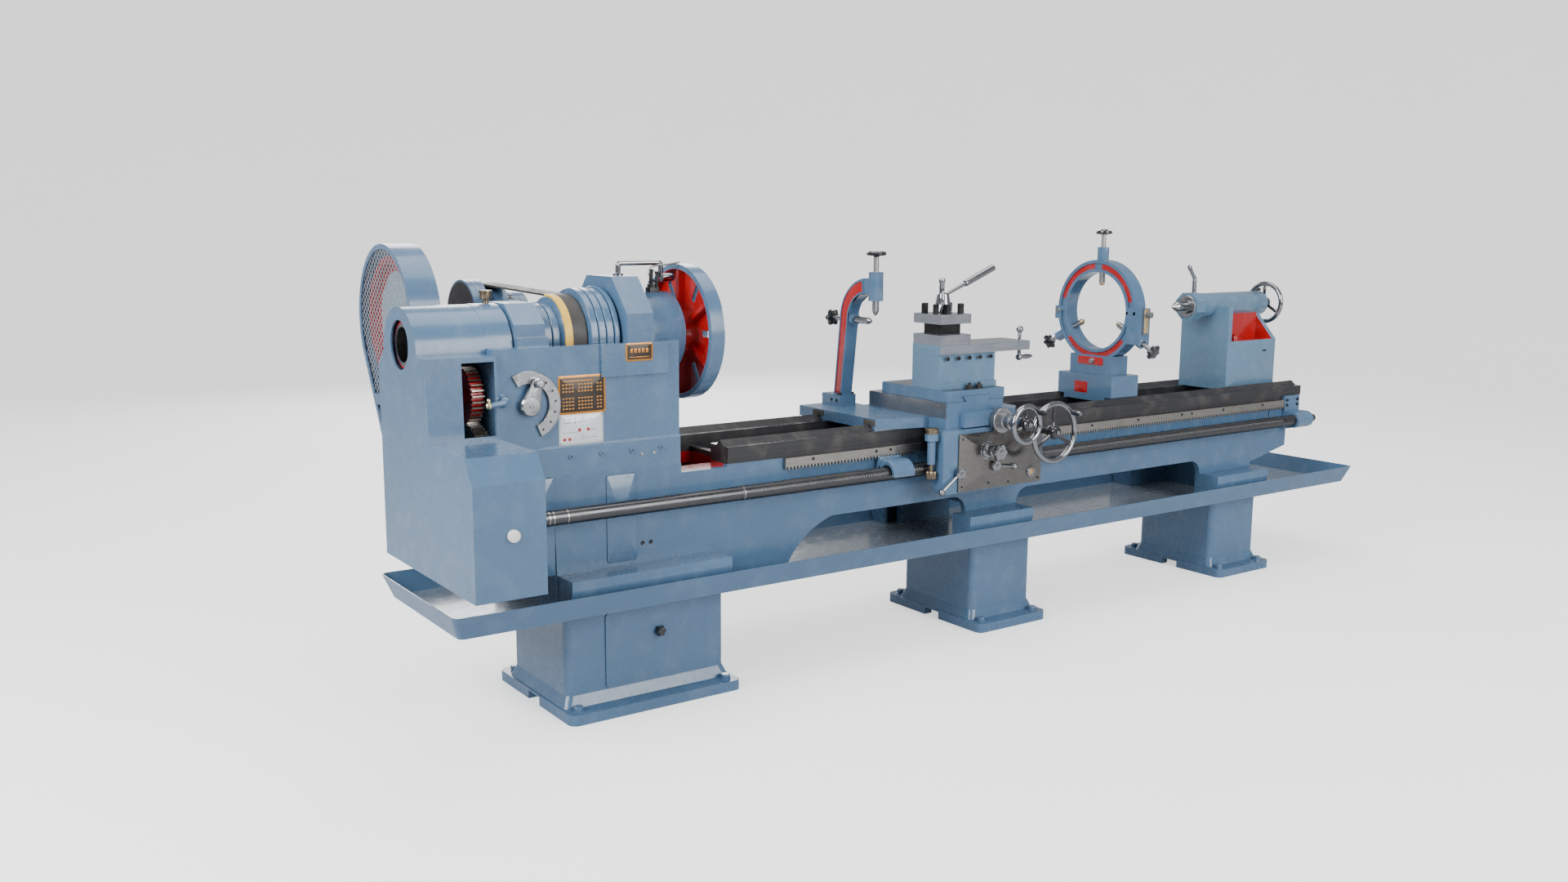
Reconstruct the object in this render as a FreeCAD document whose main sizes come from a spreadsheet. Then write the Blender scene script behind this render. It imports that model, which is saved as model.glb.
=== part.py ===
"""Gap-bed centre lathe with a belt-driven cone-pulley headstock.

X runs along the bed from the headstock to the tailstock, Y to the back and Z up. The origin is on
the floor, under the spindle axis and the middle of the middle leg. All lengths are millimetres.
"""
import FreeCAD, Part
import math
import os
import Sketcher
from FreeCAD import Placement, Rotation, Vector

SIZES = {
    # Whole machine
    "centre_height": 352,
    "running_gap": 0.3,
    "bore_gap": 0.05,
    "overrun": 5,
    # Legs
    "leg_height": 328,
    "leg_half_depth": 190,
    "foot_thickness": 33,
    "foot_half_depth": 262,
    "foot_side_step": 21,
    "foot_swell": 14,
    "foot_swell_height": 34,
    "leg_wall": 14,
    "leg_corner": 26,
    "left_foot_reach": 1790,
    "left_foot_length": 595,
    "small_foot_length": 340,
    "right_foot_reach": 1534,
    "foot_arch_width": 76,
    "foot_arch_height": 26,
    # Door of the left leg
    "door_side": 150,
    "door_width": 347,
    "door_sill": 69,
    "door_height": 235,
    "door_thickness": 5,
    "door_overlap": 14,
    "door_corner": 16,
    "door_knob_side": 183,
    "door_knob_height": 222,
    "door_knob_radius": 18,
    "door_knob_depth": 22,
    "door_stem_radius": 5,
    # Chip tray
    "tray_left_overhang": 337,
    "tray_right_overhang": 494,
    "tray_half_depth": 270,
    "tray_lip_height": 69,
    "tray_flare": 26,
    "tray_sheet": 3,
    "tray_corner": 20,
    # Bed
    "bed_left_overhang": 10,
    "way_overhang": 85,
    "bed_wall_right_reach": 1690,
    "bed_half_width": 190,
    "bed_wall": 22,
    "rib_thickness": 26,
    "rail_depth": 92,
    "way_thickness": 38,
    "seat_drop": 33,
    "bed_height": 440,
    "way_half_width": 194,
    "way_inner_half_gap": 92,
    "ridge_offset": 146,
    "ridge_half_width": 21,
    "ridge_height": 18,
    "gap_length": 167,
    "gap_depth": 62,
    "arch_rise": 172,
    "arch_bend": 300,
    "arch_run": 195,
    "arch_corner": 60,
    "left_pedestal_length": 805,
    "middle_pedestal_left_reach": 190,
    "middle_pedestal_right_reach": 60,
    "right_pedestal_left": 1118,
    "right_pedestal_length": 332,
    "bed_end_low_rise": 132,
    "bed_end_high_rise": 184,
    "bed_step_drop": 128,
    "skirt_rise": 115,
    "skirt_bend_rise": 87,
    "skirt_foot_half_depth": 260,
    "skirt_top_half_depth": 283,
    "skirt_wall": 12,
    "left_skirt_length": 545,
    "middle_skirt_left_reach": 250,
    "panel_low_drop": 128,
    "panel_high_drop": 83,
    "panel_left_reach": 960,
    "panel_right": 1566,
    "panel_depth": 4,
    # Rack and lead screw
    "rack_left_reach": 990,
    "rack_length": 2640,
    "rack_thickness": 14,
    "rack_height": 38,
    "rack_tooth_depth": 9,
    "rack_pitch": 44,
    "screw_offset": 245,
    "screw_drop": 138,
    "screw_radius": 23,
    "screw_right_reach": 1800,
    "screw_journal_radius": 16,
    "bracket_left": 1655,
    "bracket_length": 103,
    "bracket_drop": 44,
    "bracket_thickness": 13,
    "bracket_radius": 34,
    # Headstock
    "head_length": 595,
    "head_seat_length": 429,
    "head_half_width": 180,
    "head_top_drop": 10,
    "head_flange_height": 83,
    "head_flange_step": 6,
    "head_wall": 24,
    "head_hollow_height": 200,
    "swell_length": 223,
    "swell_inset": 42,
    "swell_height": 95,
    "swell_step": 9,
    "trough_length": 240,
    "trough_inset": 173,
    "trough_radius": 158,
    "trough_back_drop": 135,
    "drum_inside": 79,
    "drum_overhang": 57,
    "drum_radius": 128,
    "drum_wall": 12,
    "rear_ring_radius": 130,
    "rear_ring_drop": 22,
    "rear_ring_length": 81,
    "gear_plate": 10,
    "gear_plate_boss": 38,
    # Bearing caps
    "rear_cap_length": 96,
    "cap_flange_half_width": 150,
    "cap_flange_height": 26,
    "rear_cap_half_width": 128,
    "rear_cap_shoulder": 62,
    "rear_cap_top": 119,
    "rear_cap_crown": 60,
    "front_cap_length": 90,
    "front_cap_half_width": 174,
    "front_cap_shoulder": 85,
    "front_cap_top": 190,
    "front_cap_crown": 80,
    # Spindle, cone pulley and faceplate
    "spindle_inset": 10,
    "spindle_radius": 60,
    "spindle_bore": 50,
    "nose_overhang": 141,
    "bull_gear_radius": 105,
    "bull_gear_inset": 18,
    "cone_inset": 8,
    "cone_small_length": 54,
    "cone_step_length": 76,
    "cone_rim_length": 18,
    "cone_rim_step": 4,
    "cone_groove": 4,
    "cone_small_radius": 104,
    "cone_middle_radius": 122,
    "cone_large_radius": 146,
    "plate_thickness": 50,
    "plate_lip": 5,
    "plate_radius": 212,
    "plate_web": 20,
    "plate_rim": 16,
    "plate_hub_radius": 78,
    "plate_hub_length": 33,
    "plate_rib": 14,
    "plate_slot_half_width": 10,
    "plate_slot_inner": 112,
    "plate_slot_outer": 176,
    # Countershaft, motor and belts
    "counter_offset": 520,
    "counter_rise": 26,
    "counter_shaft_radius": 22,
    "counter_shaft_end": 4,
    "counter_shaft_right_reach": 1490,
    "counter_sum": 230,
    "flat_belt_thickness": 6,
    "flat_belt_width": 68,
    "driven_radius": 205,
    "driven_overhang": 44,
    "driven_width": 62,
    "driven_web": 12,
    "driven_rim": 22,
    "motor_offset": 500,
    "motor_drop": 340,
    "motor_radius": 92,
    "motor_inset": 10,
    "motor_length": 260,
    "motor_shaft_radius": 14,
    "motor_foot": 60,
    "motor_pulley_radius": 56,
    "vee_groove_depth": 10,
    "vee_groove_half_width": 9,
    "vee_belt_half_width": 8,
    "vee_belt_depth": 9,
    "vee_belt_pitch": 26,
    "hanger_inset": 75,
    "hanger_thickness": 40,
    "hanger_pitch": 395,
    "hanger_boss_radius": 48,
    "hanger_drop": 306,
    "hanger_shelf_low_rise": 96,
    "hanger_shelf_high_rise": 154,
    "hanger_shelf_thickness": 16,
    # Belt guard
    "belt_guard_margin": 22,
    "belt_guard_depth": 97,
    "belt_guard_radius": 243,
    "belt_guard_low_radius": 92,
    "belt_guard_sheet": 4,
    "belt_guard_rim": 16,
    "mesh_thickness": 2,
    # End guard over the change gears
    "end_guard_depth": 202,
    "end_guard_sheet": 5,
    "end_guard_back": 178,
    "end_guard_back_shoulder_drop": 70,
    "end_guard_bottom_rise": 160,
    "end_guard_crown_drop": 25,
    "end_guard_hump": 132,
    "end_guard_brow": 196,
    "end_guard_front": 205,
    "end_guard_step_drop": 256,
    "end_guard_slope_drop": 324,
    "end_guard_slope_offset": 449,
    "end_guard_nose_offset": 497,
    "end_guard_hole": 70,
    "end_window_overhang": 101,
    "end_window_inset": 6,
    "end_window_low_rise": 10,
    "end_window_high_drop": 40,
    "latch_overhang": 95,
    "latch_rise": 171,
    "latch_radius": 17,
    "latch_depth": 16,
    # Change gears
    "gear_module": 5,
    "gear_overhang": 50,
    "gear_width": 36,
    "gear_web": 14,
    "gear_rim": 12,
    "gear_hub_radius": 26,
    "gear_stud_radius": 13,
    "tumbler_offset": 60,
    # Levers on the headstock
    "tumbler_inset": 21,
    "tumbler_drop": 153,
    "tumbler_arm": 57,
    "tumbler_hub_radius": 18,
    "lever_plate": 10,
    "quadrant_inset": 99,
    "quadrant_drop": 172,
    "quadrant_hub_radius": 30,
    "quadrant_hub_depth": 16,
    "quadrant_arm": 68,
    "quadrant_knob_radius": 12,
    "quadrant_knob_depth": 30,
    "back_handle_inset": 24,
    "back_handle_radius": 8,
    "back_handle_rise": 36,
    "back_handle_length": 150,
    "back_handle_drop": 46,
    "back_handle_grip": 13,
    # Saddle
    "saddle_left_reach": 600,
    "saddle_right_reach": -60,
    "saddle_back": 262,
    "saddle_front": 217,
    "saddle_thickness": 37,
    "saddle_corner": 43,
    "saddle_chamfer_length": 182,
    "bridge_inset": 203,
    "bridge_length": 262,
    "bridge_rise": 55,
    "bridge_front": 306,
    "bridge_back": 112,
    "bridge_bend": 30,
    "nose_inset": 64,
    "nose_length": 141,
    "nose_front": 328,
    "nose_low_drop": 16,
    "nose_high_rise": 35,
    "key_half_top": 66,
    "key_half_bottom": 50,
    "key_depth": 18,
    # Cross slide, compound and tool post
    "cross_left_inset": 9,
    "cross_right_lap": 11,
    "cross_front": 300,
    "cross_length": 350,
    "cross_thickness": 39,
    "compound_inset": 3,
    "compound_length": 265,
    "compound_front": 255,
    "compound_depth": 145,
    "compound_top": 1018,
    "compound_waist": 10,
    "top_slide_thickness": 32,
    "top_slide_length": 425,
    "top_key_half_top": 44,
    "top_key_half_bottom": 32,
    "top_key_depth": 14,
    "post_size": 140,
    "post_low_plate": 35,
    "post_waist": 37,
    "post_waist_size": 88,
    "post_top_plate": 33,
    "post_stud_radius": 15,
    "post_stud_height": 150,
    "nut_base_radius": 33,
    "nut_top_radius": 20,
    "nut_height": 69,
    "clamp_rod_radius": 6,
    "clamp_rod_length": 118,
    "clamp_grip_radius": 12,
    "clamp_grip_length": 150,
    "tool_screw_size": 15,
    "tool_screw_height": 34,
    "tool_screw_inset": 13,
    "tool_screw_side": 30,
    "crank_offset": 20,
    "crank_throw": 50,
    "crank_ball": 13,
    "crank_rod_radius": 6,
    "crank_handle_length": 64,
    "crank_handle_radius": 9,
    # Handwheels and levers of the carriage
    "cross_wheel_inset": 40,
    "cross_wheel_rise": 22,
    "cross_wheel_offset": 448,
    "cross_wheel_radius": 71,
    "dial_radius": 45,
    "dial_width": 26,
    "carriage_wheel_x": 16,
    "carriage_wheel_drop": 28,
    "carriage_wheel_offset": 395,
    "carriage_wheel_radius": 111,
    "wheel_rim": 10,
    "wheel_shaft_radius": 12,
    "wheel_hub_radius": 24,
    "wheel_hub_depth": 34,
    "wheel_spoke_radius": 8,
    "wheel_handle_radius": 10,
    "wheel_handle_length": 52,
    "apron_inset": 177,
    "apron_right_reach": -48,
    "apron_front": 325,
    "apron_back": 275,
    "apron_drop": 82,
    "apron_corner": 24,
    "apron_neck_back": 208,
    "apron_neck_height": 34,
    "nut_box_inset": 28,
    "nut_box_length": 120,
    "nut_box_half_height": 42,
    "nut_box_back": 212,
    "star_inset": 198,
    "star_rise": 58,
    "star_radius": 30,
    "star_depth": 22,
    "star_stem_radius": 8,
    "star_stem_length": 58,
    "feed_lever_inset": 233,
    "feed_lever_rise": 2,
    "feed_lever_length": 92,
    "half_nut_inset": 68,
    "half_nut_drop": 10,
    "half_nut_length": 100,
    "lever_hub_radius": 20,
    "lever_hub_depth": 24,
    "lever_rod_radius": 5,
    "lever_ball_radius": 11,
    "thread_dial_overhang": 23,
    "thread_dial_offset": 290,
    "thread_dial_rise": 150,
    "thread_dial_radius": 24,
    "thread_dial_depth": 20,
    "thread_shaft_radius": 6,
    "thread_gear_radius": 18,
    "thread_gear_height": 26,
    "thread_ear_height": 24,
    # Follow rest
    "follow_inset": 135,
    "follow_width": 44,
    "follow_base_front": 150,
    "follow_base_back": 258,
    "follow_base_length": 72,
    "follow_base_height": 40,
    "follow_arm_outer": 205,
    "follow_arm_inner": 157,
    "follow_neck_outer": 175,
    "follow_neck_inner": 124,
    "follow_outer_bend": 150,
    "follow_inner_bend": 96,
    "follow_boss_radius": 26,
    "follow_boss_low": 72,
    "follow_boss_high": 172,
    "follow_side_length": 82,
    "follow_side_radius": 22,
    "rest_screw_radius": 9,
    "rest_jaw_radius": 12,
    "follow_jaw_low": 22,
    "follow_knob_radius": 35,
    "follow_knob_depth": 20,
    "follow_knob_rise": 224,
    "follow_star_offset": 236,
    "rest_star_radius": 32,
    "rest_star_depth": 22,
    # Steady rest
    "steady_x": 690,
    "steady_width": 60,
    "steady_base_length": 155,
    "steady_base_half_width": 140,
    "steady_base_height": 102,
    "steady_pedestal_half_width": 107,
    "steady_pedestal_length": 96,
    "steady_pedestal_height": 177,
    "steady_ring_outer": 200,
    "steady_ring_inner": 154,
    "steady_groove_depth": 20,
    "steady_flange": 12,
    "steady_split_gap": 0.3,
    "steady_split_drop": 8,
    "steady_hinge_y": 200,
    "steady_hinge_radius": 17,
    "steady_boss_radius": 23,
    "steady_boss_outer": 250,
    "steady_jaw_reach": 100,
    "steady_jaw_outer": 320,
    "steady_clamp_front": 224,
    "steady_clamp_low_drop": 120,
    "steady_clamp_high_rise": 20,
    "steady_strip_low_drop": 80,
    "steady_clamp_sheet": 8,
    "steady_clamp_knob": 24,
    # Tailstock
    "tail_left": 1345,
    "tail_length": 330,
    "tail_half_width": 121,
    "tail_block_drop": 147,
    "tail_column_front": 36,
    "tail_rib": 26,
    "tail_recess": 60,
    "barrel_left": 1217,
    "barrel_length": 488,
    "barrel_radius": 52,
    "barrel_nose_length": 60,
    "barrel_nose_radius": 60,
    "quill_left": 1192,
    "quill_length": 440,
    "quill_radius": 32,
    "centre_length": 74,
    "centre_radius": 20,
    "tail_wheel_x": 1752,
    "tail_wheel_radius": 93,
    "quill_lock_x": 1262,
    "quill_lock_rise": 112,
    "quill_lock_radius": 9,
    "quill_lock_arm": 58,
}

# Counts, angles in degrees and shares of the sizes that they belong to
cell_count = 11
spoke_count = 3
plate_sides = 40
rim_sides = 32
gear_sides = 20
hub_sides = 12
rod_sides = 8
lobe_count = 6
plate_rib_count = 6
spindle_teeth = 32
tumbler_teeth = 32
change_teeth = 46
screw_teeth = 40
handle_angle = 40
clamp_handle_angle = 0
clamp_rise_angle = 68
feed_lever_angle = -8
half_nut_angle = 215
quill_lock_angle = 38
lower_jaw_angles = (332, 208)
tooth_tip_share = 0.24
tooth_root_share = 0.62
tooth_height_share = 0.9
tooth_depth_share = 1.15
rim_face_share = 0.8
spoke_thickness_share = 0.7
knob_lobe_share = 0.3
knob_core_share = 0.78
vee_floor_share = 0.6
clamp_knee_share = 0.9
centre_cone_share = 1.7
guard_band_shares = (0.47, 0.6)

ALONG_X = Rotation(Vector(0, 1, 0), 90)
TO_FRONT = Rotation(Vector(1, 0, 0), 90)
TO_BACK = Rotation(Vector(1, 0, 0), -90)
UPRIGHT = Rotation()

doc = FreeCAD.newDocument("Lathe")
sheet = doc.addObject("Spreadsheet::Sheet", "Sizes")


class Size:
    """A length kept as a number and as the sheet expression that gives it."""

    def __init__(self, number, text):
        self.number = number
        self.text = text

    def joined(self, sign, other, number):
        return Size(number, "({} {} {})".format(self.text, sign, other.text))

    def __add__(self, other):
        other = sized(other)
        return self.joined("+", other, self.number + other.number)

    def __radd__(self, other):
        return sized(other) + self

    def __sub__(self, other):
        other = sized(other)
        return self.joined("-", other, self.number - other.number)

    def __rsub__(self, other):
        return sized(other) - self

    def __mul__(self, other):
        other = sized(other)
        return self.joined("*", other, self.number * other.number)

    def __rmul__(self, other):
        return sized(other) * self

    def __truediv__(self, other):
        other = sized(other)
        return self.joined("/", other, self.number / other.number)

    def __neg__(self):
        return Size(-self.number, "(-{})".format(self.text))


def sized(value):
    """Return a plain number as a Size, and a Size as it is."""
    return value if isinstance(value, Size) else Size(float(value), "({:.9g})".format(value))


def root(value):
    """Return the square root of a product of two sizes."""
    return Size(math.sqrt(value.number), "sqrt({})".format(value.text))


class Driving:
    """The driving dimensions, read by name."""

    def __getattr__(self, name):
        return Size(float(SIZES[name]), "Sizes." + name)


for row, (alias, millimetres) in enumerate(SIZES.items(), start=1):
    sheet.set("A{}".format(row), alias)
    sheet.set("B{}".format(row), str(millimetres))
    sheet.setAlias("B{}".format(row), alias)
doc.recompute()
d = Driving()

# Heights of the bed, from the legs and the ways
d.way_height = d.leg_height + d.bed_height
d.deck_height = d.way_height - d.way_thickness
d.seat_height = d.way_height - d.seat_drop
d.gap_floor_height = d.way_height - d.gap_depth
d.rail_low = d.way_height - d.rail_depth
d.bed_step_height = d.way_height - d.bed_step_drop
d.panel_low = d.way_height - d.panel_low_drop
d.panel_high = d.way_height - d.panel_high_drop
d.arch_height = d.leg_height + d.arch_rise
d.bed_end_low = d.leg_height + d.bed_end_low_rise
d.bed_end_high = d.leg_height + d.bed_end_high_rise
d.skirt_height = d.leg_height + d.skirt_rise
d.skirt_bend_height = d.leg_height + d.skirt_bend_rise
d.screw_height = d.way_height - d.screw_drop
d.bracket_low = d.screw_height - d.bracket_drop

# Heights of the headstock and the drive, from the spindle's axis
d.axis_height = d.way_height + d.centre_height
d.head_top = d.axis_height - d.head_top_drop
d.trough_back_low = d.axis_height - d.trough_back_drop
d.tumbler_height = d.axis_height - d.tumbler_drop
d.quadrant_height = d.axis_height - d.quadrant_drop
d.counter_height = d.axis_height + d.counter_rise
d.motor_height = d.counter_height - d.motor_drop
d.hanger_low = d.counter_height - d.hanger_drop
d.hanger_shelf_low = d.motor_height + d.hanger_shelf_low_rise
d.hanger_shelf_high = d.motor_height + d.hanger_shelf_high_rise
d.end_guard_back_shoulder = d.axis_height - d.end_guard_back_shoulder_drop
d.end_guard_bottom = d.leg_height + d.end_guard_bottom_rise
d.end_guard_crown = d.axis_height - d.end_guard_crown_drop
d.end_guard_step_height = d.axis_height - d.end_guard_step_drop
d.end_guard_slope_height = d.axis_height - d.end_guard_slope_drop
d.end_window_low = d.end_guard_step_height + d.end_window_low_rise
d.end_window_high = d.axis_height - d.end_window_high_drop
d.latch_height = d.end_guard_bottom + d.latch_rise

# Heights of the carriage, the rests and the tailstock
d.saddle_top = d.way_height + d.saddle_thickness
d.bridge_top = d.saddle_top + d.bridge_rise
d.cross_wheel_height = d.way_height + d.cross_wheel_rise
d.nose_low = d.cross_wheel_height - d.nose_low_drop
d.nose_high = d.cross_wheel_height + d.nose_high_rise
d.carriage_wheel_height = d.way_height - d.carriage_wheel_drop
d.apron_low = d.screw_height - d.apron_drop
d.star_height = d.screw_height + d.star_rise
d.feed_lever_height = d.screw_height + d.feed_lever_rise
d.half_nut_height = d.screw_height - d.half_nut_drop
d.thread_dial_top = d.screw_height + d.thread_dial_rise
d.steady_base_top = d.way_height + d.steady_base_height
d.steady_pedestal_top = d.way_height + d.steady_pedestal_height
d.steady_clamp_low = d.axis_height - d.steady_clamp_low_drop
d.steady_clamp_high = d.axis_height + d.steady_clamp_high_rise
d.steady_strip_low = d.axis_height - d.steady_strip_low_drop
d.tail_block_top = d.axis_height - d.tail_block_drop

# Reaches of the bed and the tray to the left, from the left foot
d.pedestal_left_reach = d.left_foot_reach
d.bed_left_reach = d.left_foot_reach + d.bed_left_overhang
d.tray_left_reach = d.left_foot_reach + d.tray_left_overhang
d.tray_right_reach = d.right_foot_reach + d.tray_right_overhang
d.bed_right_reach = d.bed_wall_right_reach + d.way_overhang
d.left_pedestal_right_reach = d.left_foot_reach - d.left_pedestal_length
d.left_skirt_right_reach = d.left_foot_reach - d.left_skirt_length
d.right_pedestal_right = d.right_pedestal_left + d.right_pedestal_length
d.head_right_reach = d.bed_left_reach - d.head_seat_length
d.gap_left_reach = d.head_right_reach
d.gap_right_reach = d.gap_left_reach - d.gap_length

# Reaches of the headstock's pieces, from its two ends
d.head_left_reach = d.head_right_reach + d.head_length
d.swell_right_reach = d.head_right_reach + d.swell_inset
d.swell_left_reach = d.swell_right_reach + d.swell_length
d.trough_right_reach = d.head_right_reach + d.trough_inset
d.trough_left_reach = d.trough_right_reach + d.trough_length
d.drum_left_reach = d.head_right_reach + d.drum_inside
d.drum_right_reach = d.head_right_reach - d.drum_overhang
d.bull_gear_left_reach = d.drum_left_reach - d.bull_gear_inset
d.bull_gear_right_reach = d.drum_right_reach + d.bull_gear_inset
d.rear_ring_right_reach = d.head_left_reach - d.rear_ring_length
d.rear_cap_left_reach = d.trough_left_reach + d.rear_cap_length
d.front_cap_right_reach = d.trough_right_reach - d.front_cap_length
d.back_handle_x_reach = d.front_cap_right_reach + d.back_handle_inset
d.cone_left_reach = d.trough_left_reach - d.cone_inset
d.nose_right_reach = d.head_right_reach - d.nose_overhang
d.plate_front_reach = d.nose_right_reach - d.plate_lip
d.plate_back_reach = d.plate_front_reach + d.plate_thickness
d.plate_hub_back_reach = d.plate_back_reach + d.plate_hub_length
d.end_guard_left_reach = d.head_left_reach + d.end_guard_depth
d.spindle_left_reach = d.end_guard_left_reach - d.spindle_inset
d.gear_left_reach = d.head_left_reach + d.gear_overhang
d.end_window_left_reach = d.head_left_reach + d.end_window_overhang
d.latch_x_reach = d.head_left_reach + d.latch_overhang
d.tumbler_x_reach = d.head_left_reach - d.tumbler_inset
d.quadrant_x_reach = d.head_left_reach - d.quadrant_inset
d.driven_left_reach = d.head_left_reach + d.driven_overhang
d.counter_shaft_left_reach = d.driven_left_reach + d.counter_shaft_end
d.hanger_left_reach = d.driven_left_reach - d.hanger_inset
d.motor_left_reach = d.hanger_left_reach - d.motor_inset
d.belt_guard_left_reach = d.driven_left_reach + d.belt_guard_margin

# Reaches of the carriage's pieces, from the saddle's left end
d.bridge_left_reach = d.saddle_left_reach - d.bridge_inset
d.bridge_right_reach = d.bridge_left_reach - d.bridge_length
d.nose_left_reach = d.bridge_left_reach - d.nose_inset
d.cross_left_reach = d.bridge_left_reach - d.cross_left_inset
d.cross_right_reach = d.bridge_right_reach - d.cross_right_lap
d.compound_left_reach = d.cross_left_reach - d.compound_inset
d.cross_wheel_x_reach = d.bridge_right_reach + d.cross_wheel_inset
d.apron_left_reach = d.saddle_left_reach - d.apron_inset
d.nut_box_left_reach = d.apron_left_reach - d.nut_box_inset
d.star_x_reach = d.apron_left_reach - d.star_inset
d.feed_lever_x_reach = d.apron_left_reach - d.feed_lever_inset
d.half_nut_x_reach = d.apron_left_reach - d.half_nut_inset
d.thread_dial_x_reach = d.apron_left_reach + d.thread_dial_overhang
d.follow_x_reach = d.saddle_left_reach - d.follow_inset
NODES = {}


def bind(item, prop, value):
    """Set a property to a size and tie it to the sheet."""
    item.setExpression(prop, sized(value).text)


def put(item, x=0, y=0, z=0, turn=UPRIGHT):
    """Place an object at sizes, turned by a fixed rotation."""
    item.Placement = Placement(Vector(sized(x).number, sized(y).number, sized(z).number), turn)
    bind(item, "Placement.Base.x", x)
    bind(item, "Placement.Base.y", y)
    bind(item, "Placement.Base.z", z)
    return item


def rectangle(left, low, right, high):
    """Return the corners of a rectangle."""
    return [(left, low), (right, low), (right, high), (left, high)]


def disc(across, up, radius):
    """Return a circle for a sketch."""
    return ("circle", across, up, radius)


def polar(across, up, radius, angle):
    """Return the point at an angle in degrees round a centre."""
    turn = math.radians(angle)
    return (across + radius * round(math.cos(turn), 9), up + radius * round(math.sin(turn), 9))


def sided(across, up, radius, sides):
    """Return the corners of a regular polygon with flat sides towards the axes."""
    step = 360 / sides
    return [polar(sized(across), sized(up), radius, step * index + step / 2)
            for index in range(sides)]


def mirrored(points):
    """Close a half outline, given up its right side, with its mirror about the upright axis."""
    return points + [(-point[0], point[1]) for point in reversed(points)]


class Piece:
    """One body, built from features whose sizes are tied to the sheet."""

    def __init__(self, name, node=True):
        self.name = name
        self.body = doc.addObject("PartDesign::Body", name)
        self.body.Label = name
        self.features = 0
        self.waiting = []
        if node:
            NODES[name] = self.body

    def named(self, kind):
        self.features += 1
        return "{}_{}_{}".format(self.name, kind, self.features)

    def origin(self, role):
        for item in self.body.Origin.OriginFeatures:
            if item.Role == role:
                return item
        raise ValueError(role)

    def add_side(self, drawing, start, end, radius):
        """Add a straight side, or an arc that turns left for a radius over 0 and right under it."""
        first = Vector(start[0].number, start[1].number, 0)
        last = Vector(end[0].number, end[1].number, 0)
        if radius is None:
            return drawing.addGeometry(Part.LineSegment(first, last)), 1, 2
        bend = abs(radius.number)
        left = radius.number > 0
        chord = last - first
        middle = (first + last) * 0.5
        rise = math.sqrt(max(bend * bend - chord.Length ** 2 / 4, 0))
        normal = Vector(-chord.y, chord.x, 0).normalize()
        centre = middle + normal * (rise if left else -rise)
        begin, finish = (first, last) if left else (last, first)
        angles = [math.atan2(point.y - centre.y, point.x - centre.x) for point in (begin, finish)]
        if angles[1] < angles[0]:
            angles[1] += 2 * math.pi
        arc = Part.ArcOfCircle(Part.Circle(centre, Vector(0, 0, 1), bend), angles[0], angles[1])
        index = drawing.addGeometry(arc)
        self.constrain("Radius", (index,), radius if left else -radius)
        return (index, 1, 2) if left else (index, 2, 1)

    def constrain(self, kind, places, value):
        """Keep a size of the sketch that is being drawn, to be added by tie."""
        self.waiting.append((Sketcher.Constraint(kind, *places, value.number), value.text))

    def pin(self, geometry, end, point):
        self.constrain("DistanceX", (-1, 1, geometry, end), point[0])
        self.constrain("DistanceY", (-1, 1, geometry, end), point[1])

    def tie(self, drawing):
        """Add the kept constraints all at once and bind those that have a size."""
        drawing.addConstraint([constraint for constraint, text in self.waiting])
        for index, (constraint, text) in enumerate(self.waiting):
            if text:
                drawing.setExpression("Constraints[{}]".format(index), text)
        self.waiting = []

    def draw(self, plane, level, loops):
        """Draw closed loops on an origin plane moved to a level along its own axis."""
        drawing = self.body.newObject("Sketcher::SketchObject", self.named("sketch"))
        drawing.AttachmentSupport = (self.origin(plane), [""])
        drawing.MapMode = "FlatFace"
        offset = sized(level)
        bind(drawing, "AttachmentOffset.Base.z", -offset if plane == "XZ_Plane" else offset)
        for loop in loops:
            if loop[0] == "circle":
                across, up, radius = [sized(value) for value in loop[1:]]
                circle = Part.Circle(Vector(across.number, up.number, 0), Vector(0, 0, 1),
                                     radius.number)
                index = drawing.addGeometry(circle)
                self.pin(index, 3, (across, up))
                self.constrain("Radius", (index,), radius)
                continue
            corners = [tuple(sized(value) for value in point[:2]) for point in loop]
            bends = [sized(point[2]) if len(point) > 2 else None for point in loop]
            sides = []
            for index, corner in enumerate(corners):
                after = corners[(index + 1) % len(corners)]
                sides.append(self.add_side(drawing, corner, after, bends[index]))
            for index, side in enumerate(sides):
                after = sides[(index + 1) % len(sides)]
                joined = Sketcher.Constraint("Coincident", side[0], side[2], after[0], after[1])
                self.waiting.append((joined, None))
                self.pin(side[0], side[1], corners[index])
        self.tie(drawing)
        return drawing

    def slab(self, kind, plane, loops, start, end):
        """Pad or pocket loops from one level to a higher one along the plane's axis."""
        start, end = sized(start), sized(end)
        level = end if plane == "XZ_Plane" else start
        drawing = self.draw(plane, level, loops)
        feature = self.body.newObject("PartDesign::" + kind, self.named(kind))
        feature.Profile = (drawing, [""])
        bind(feature, "Length", end - start)
        feature.Reversed = kind == "Pocket"
        self.body.Tip = feature
        return feature

    def pad(self, plane, loops, start, end):
        return self.slab("Pad", plane, loops, start, end)

    def pocket(self, plane, loops, start, end):
        return self.slab("Pocket", plane, loops, start, end)

    def turned(self, loop, kind="Revolution"):
        """Turn an outline of radius and height about the body's own Z axis."""
        drawing = self.draw("XZ_Plane", 0, [loop])
        feature = self.body.newObject("PartDesign::" + kind, self.named(kind))
        feature.Profile = (drawing, [""])
        feature.ReferenceAxis = (drawing, ["V_Axis"])
        feature.Angle = 360
        self.body.Tip = feature
        return feature

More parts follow.
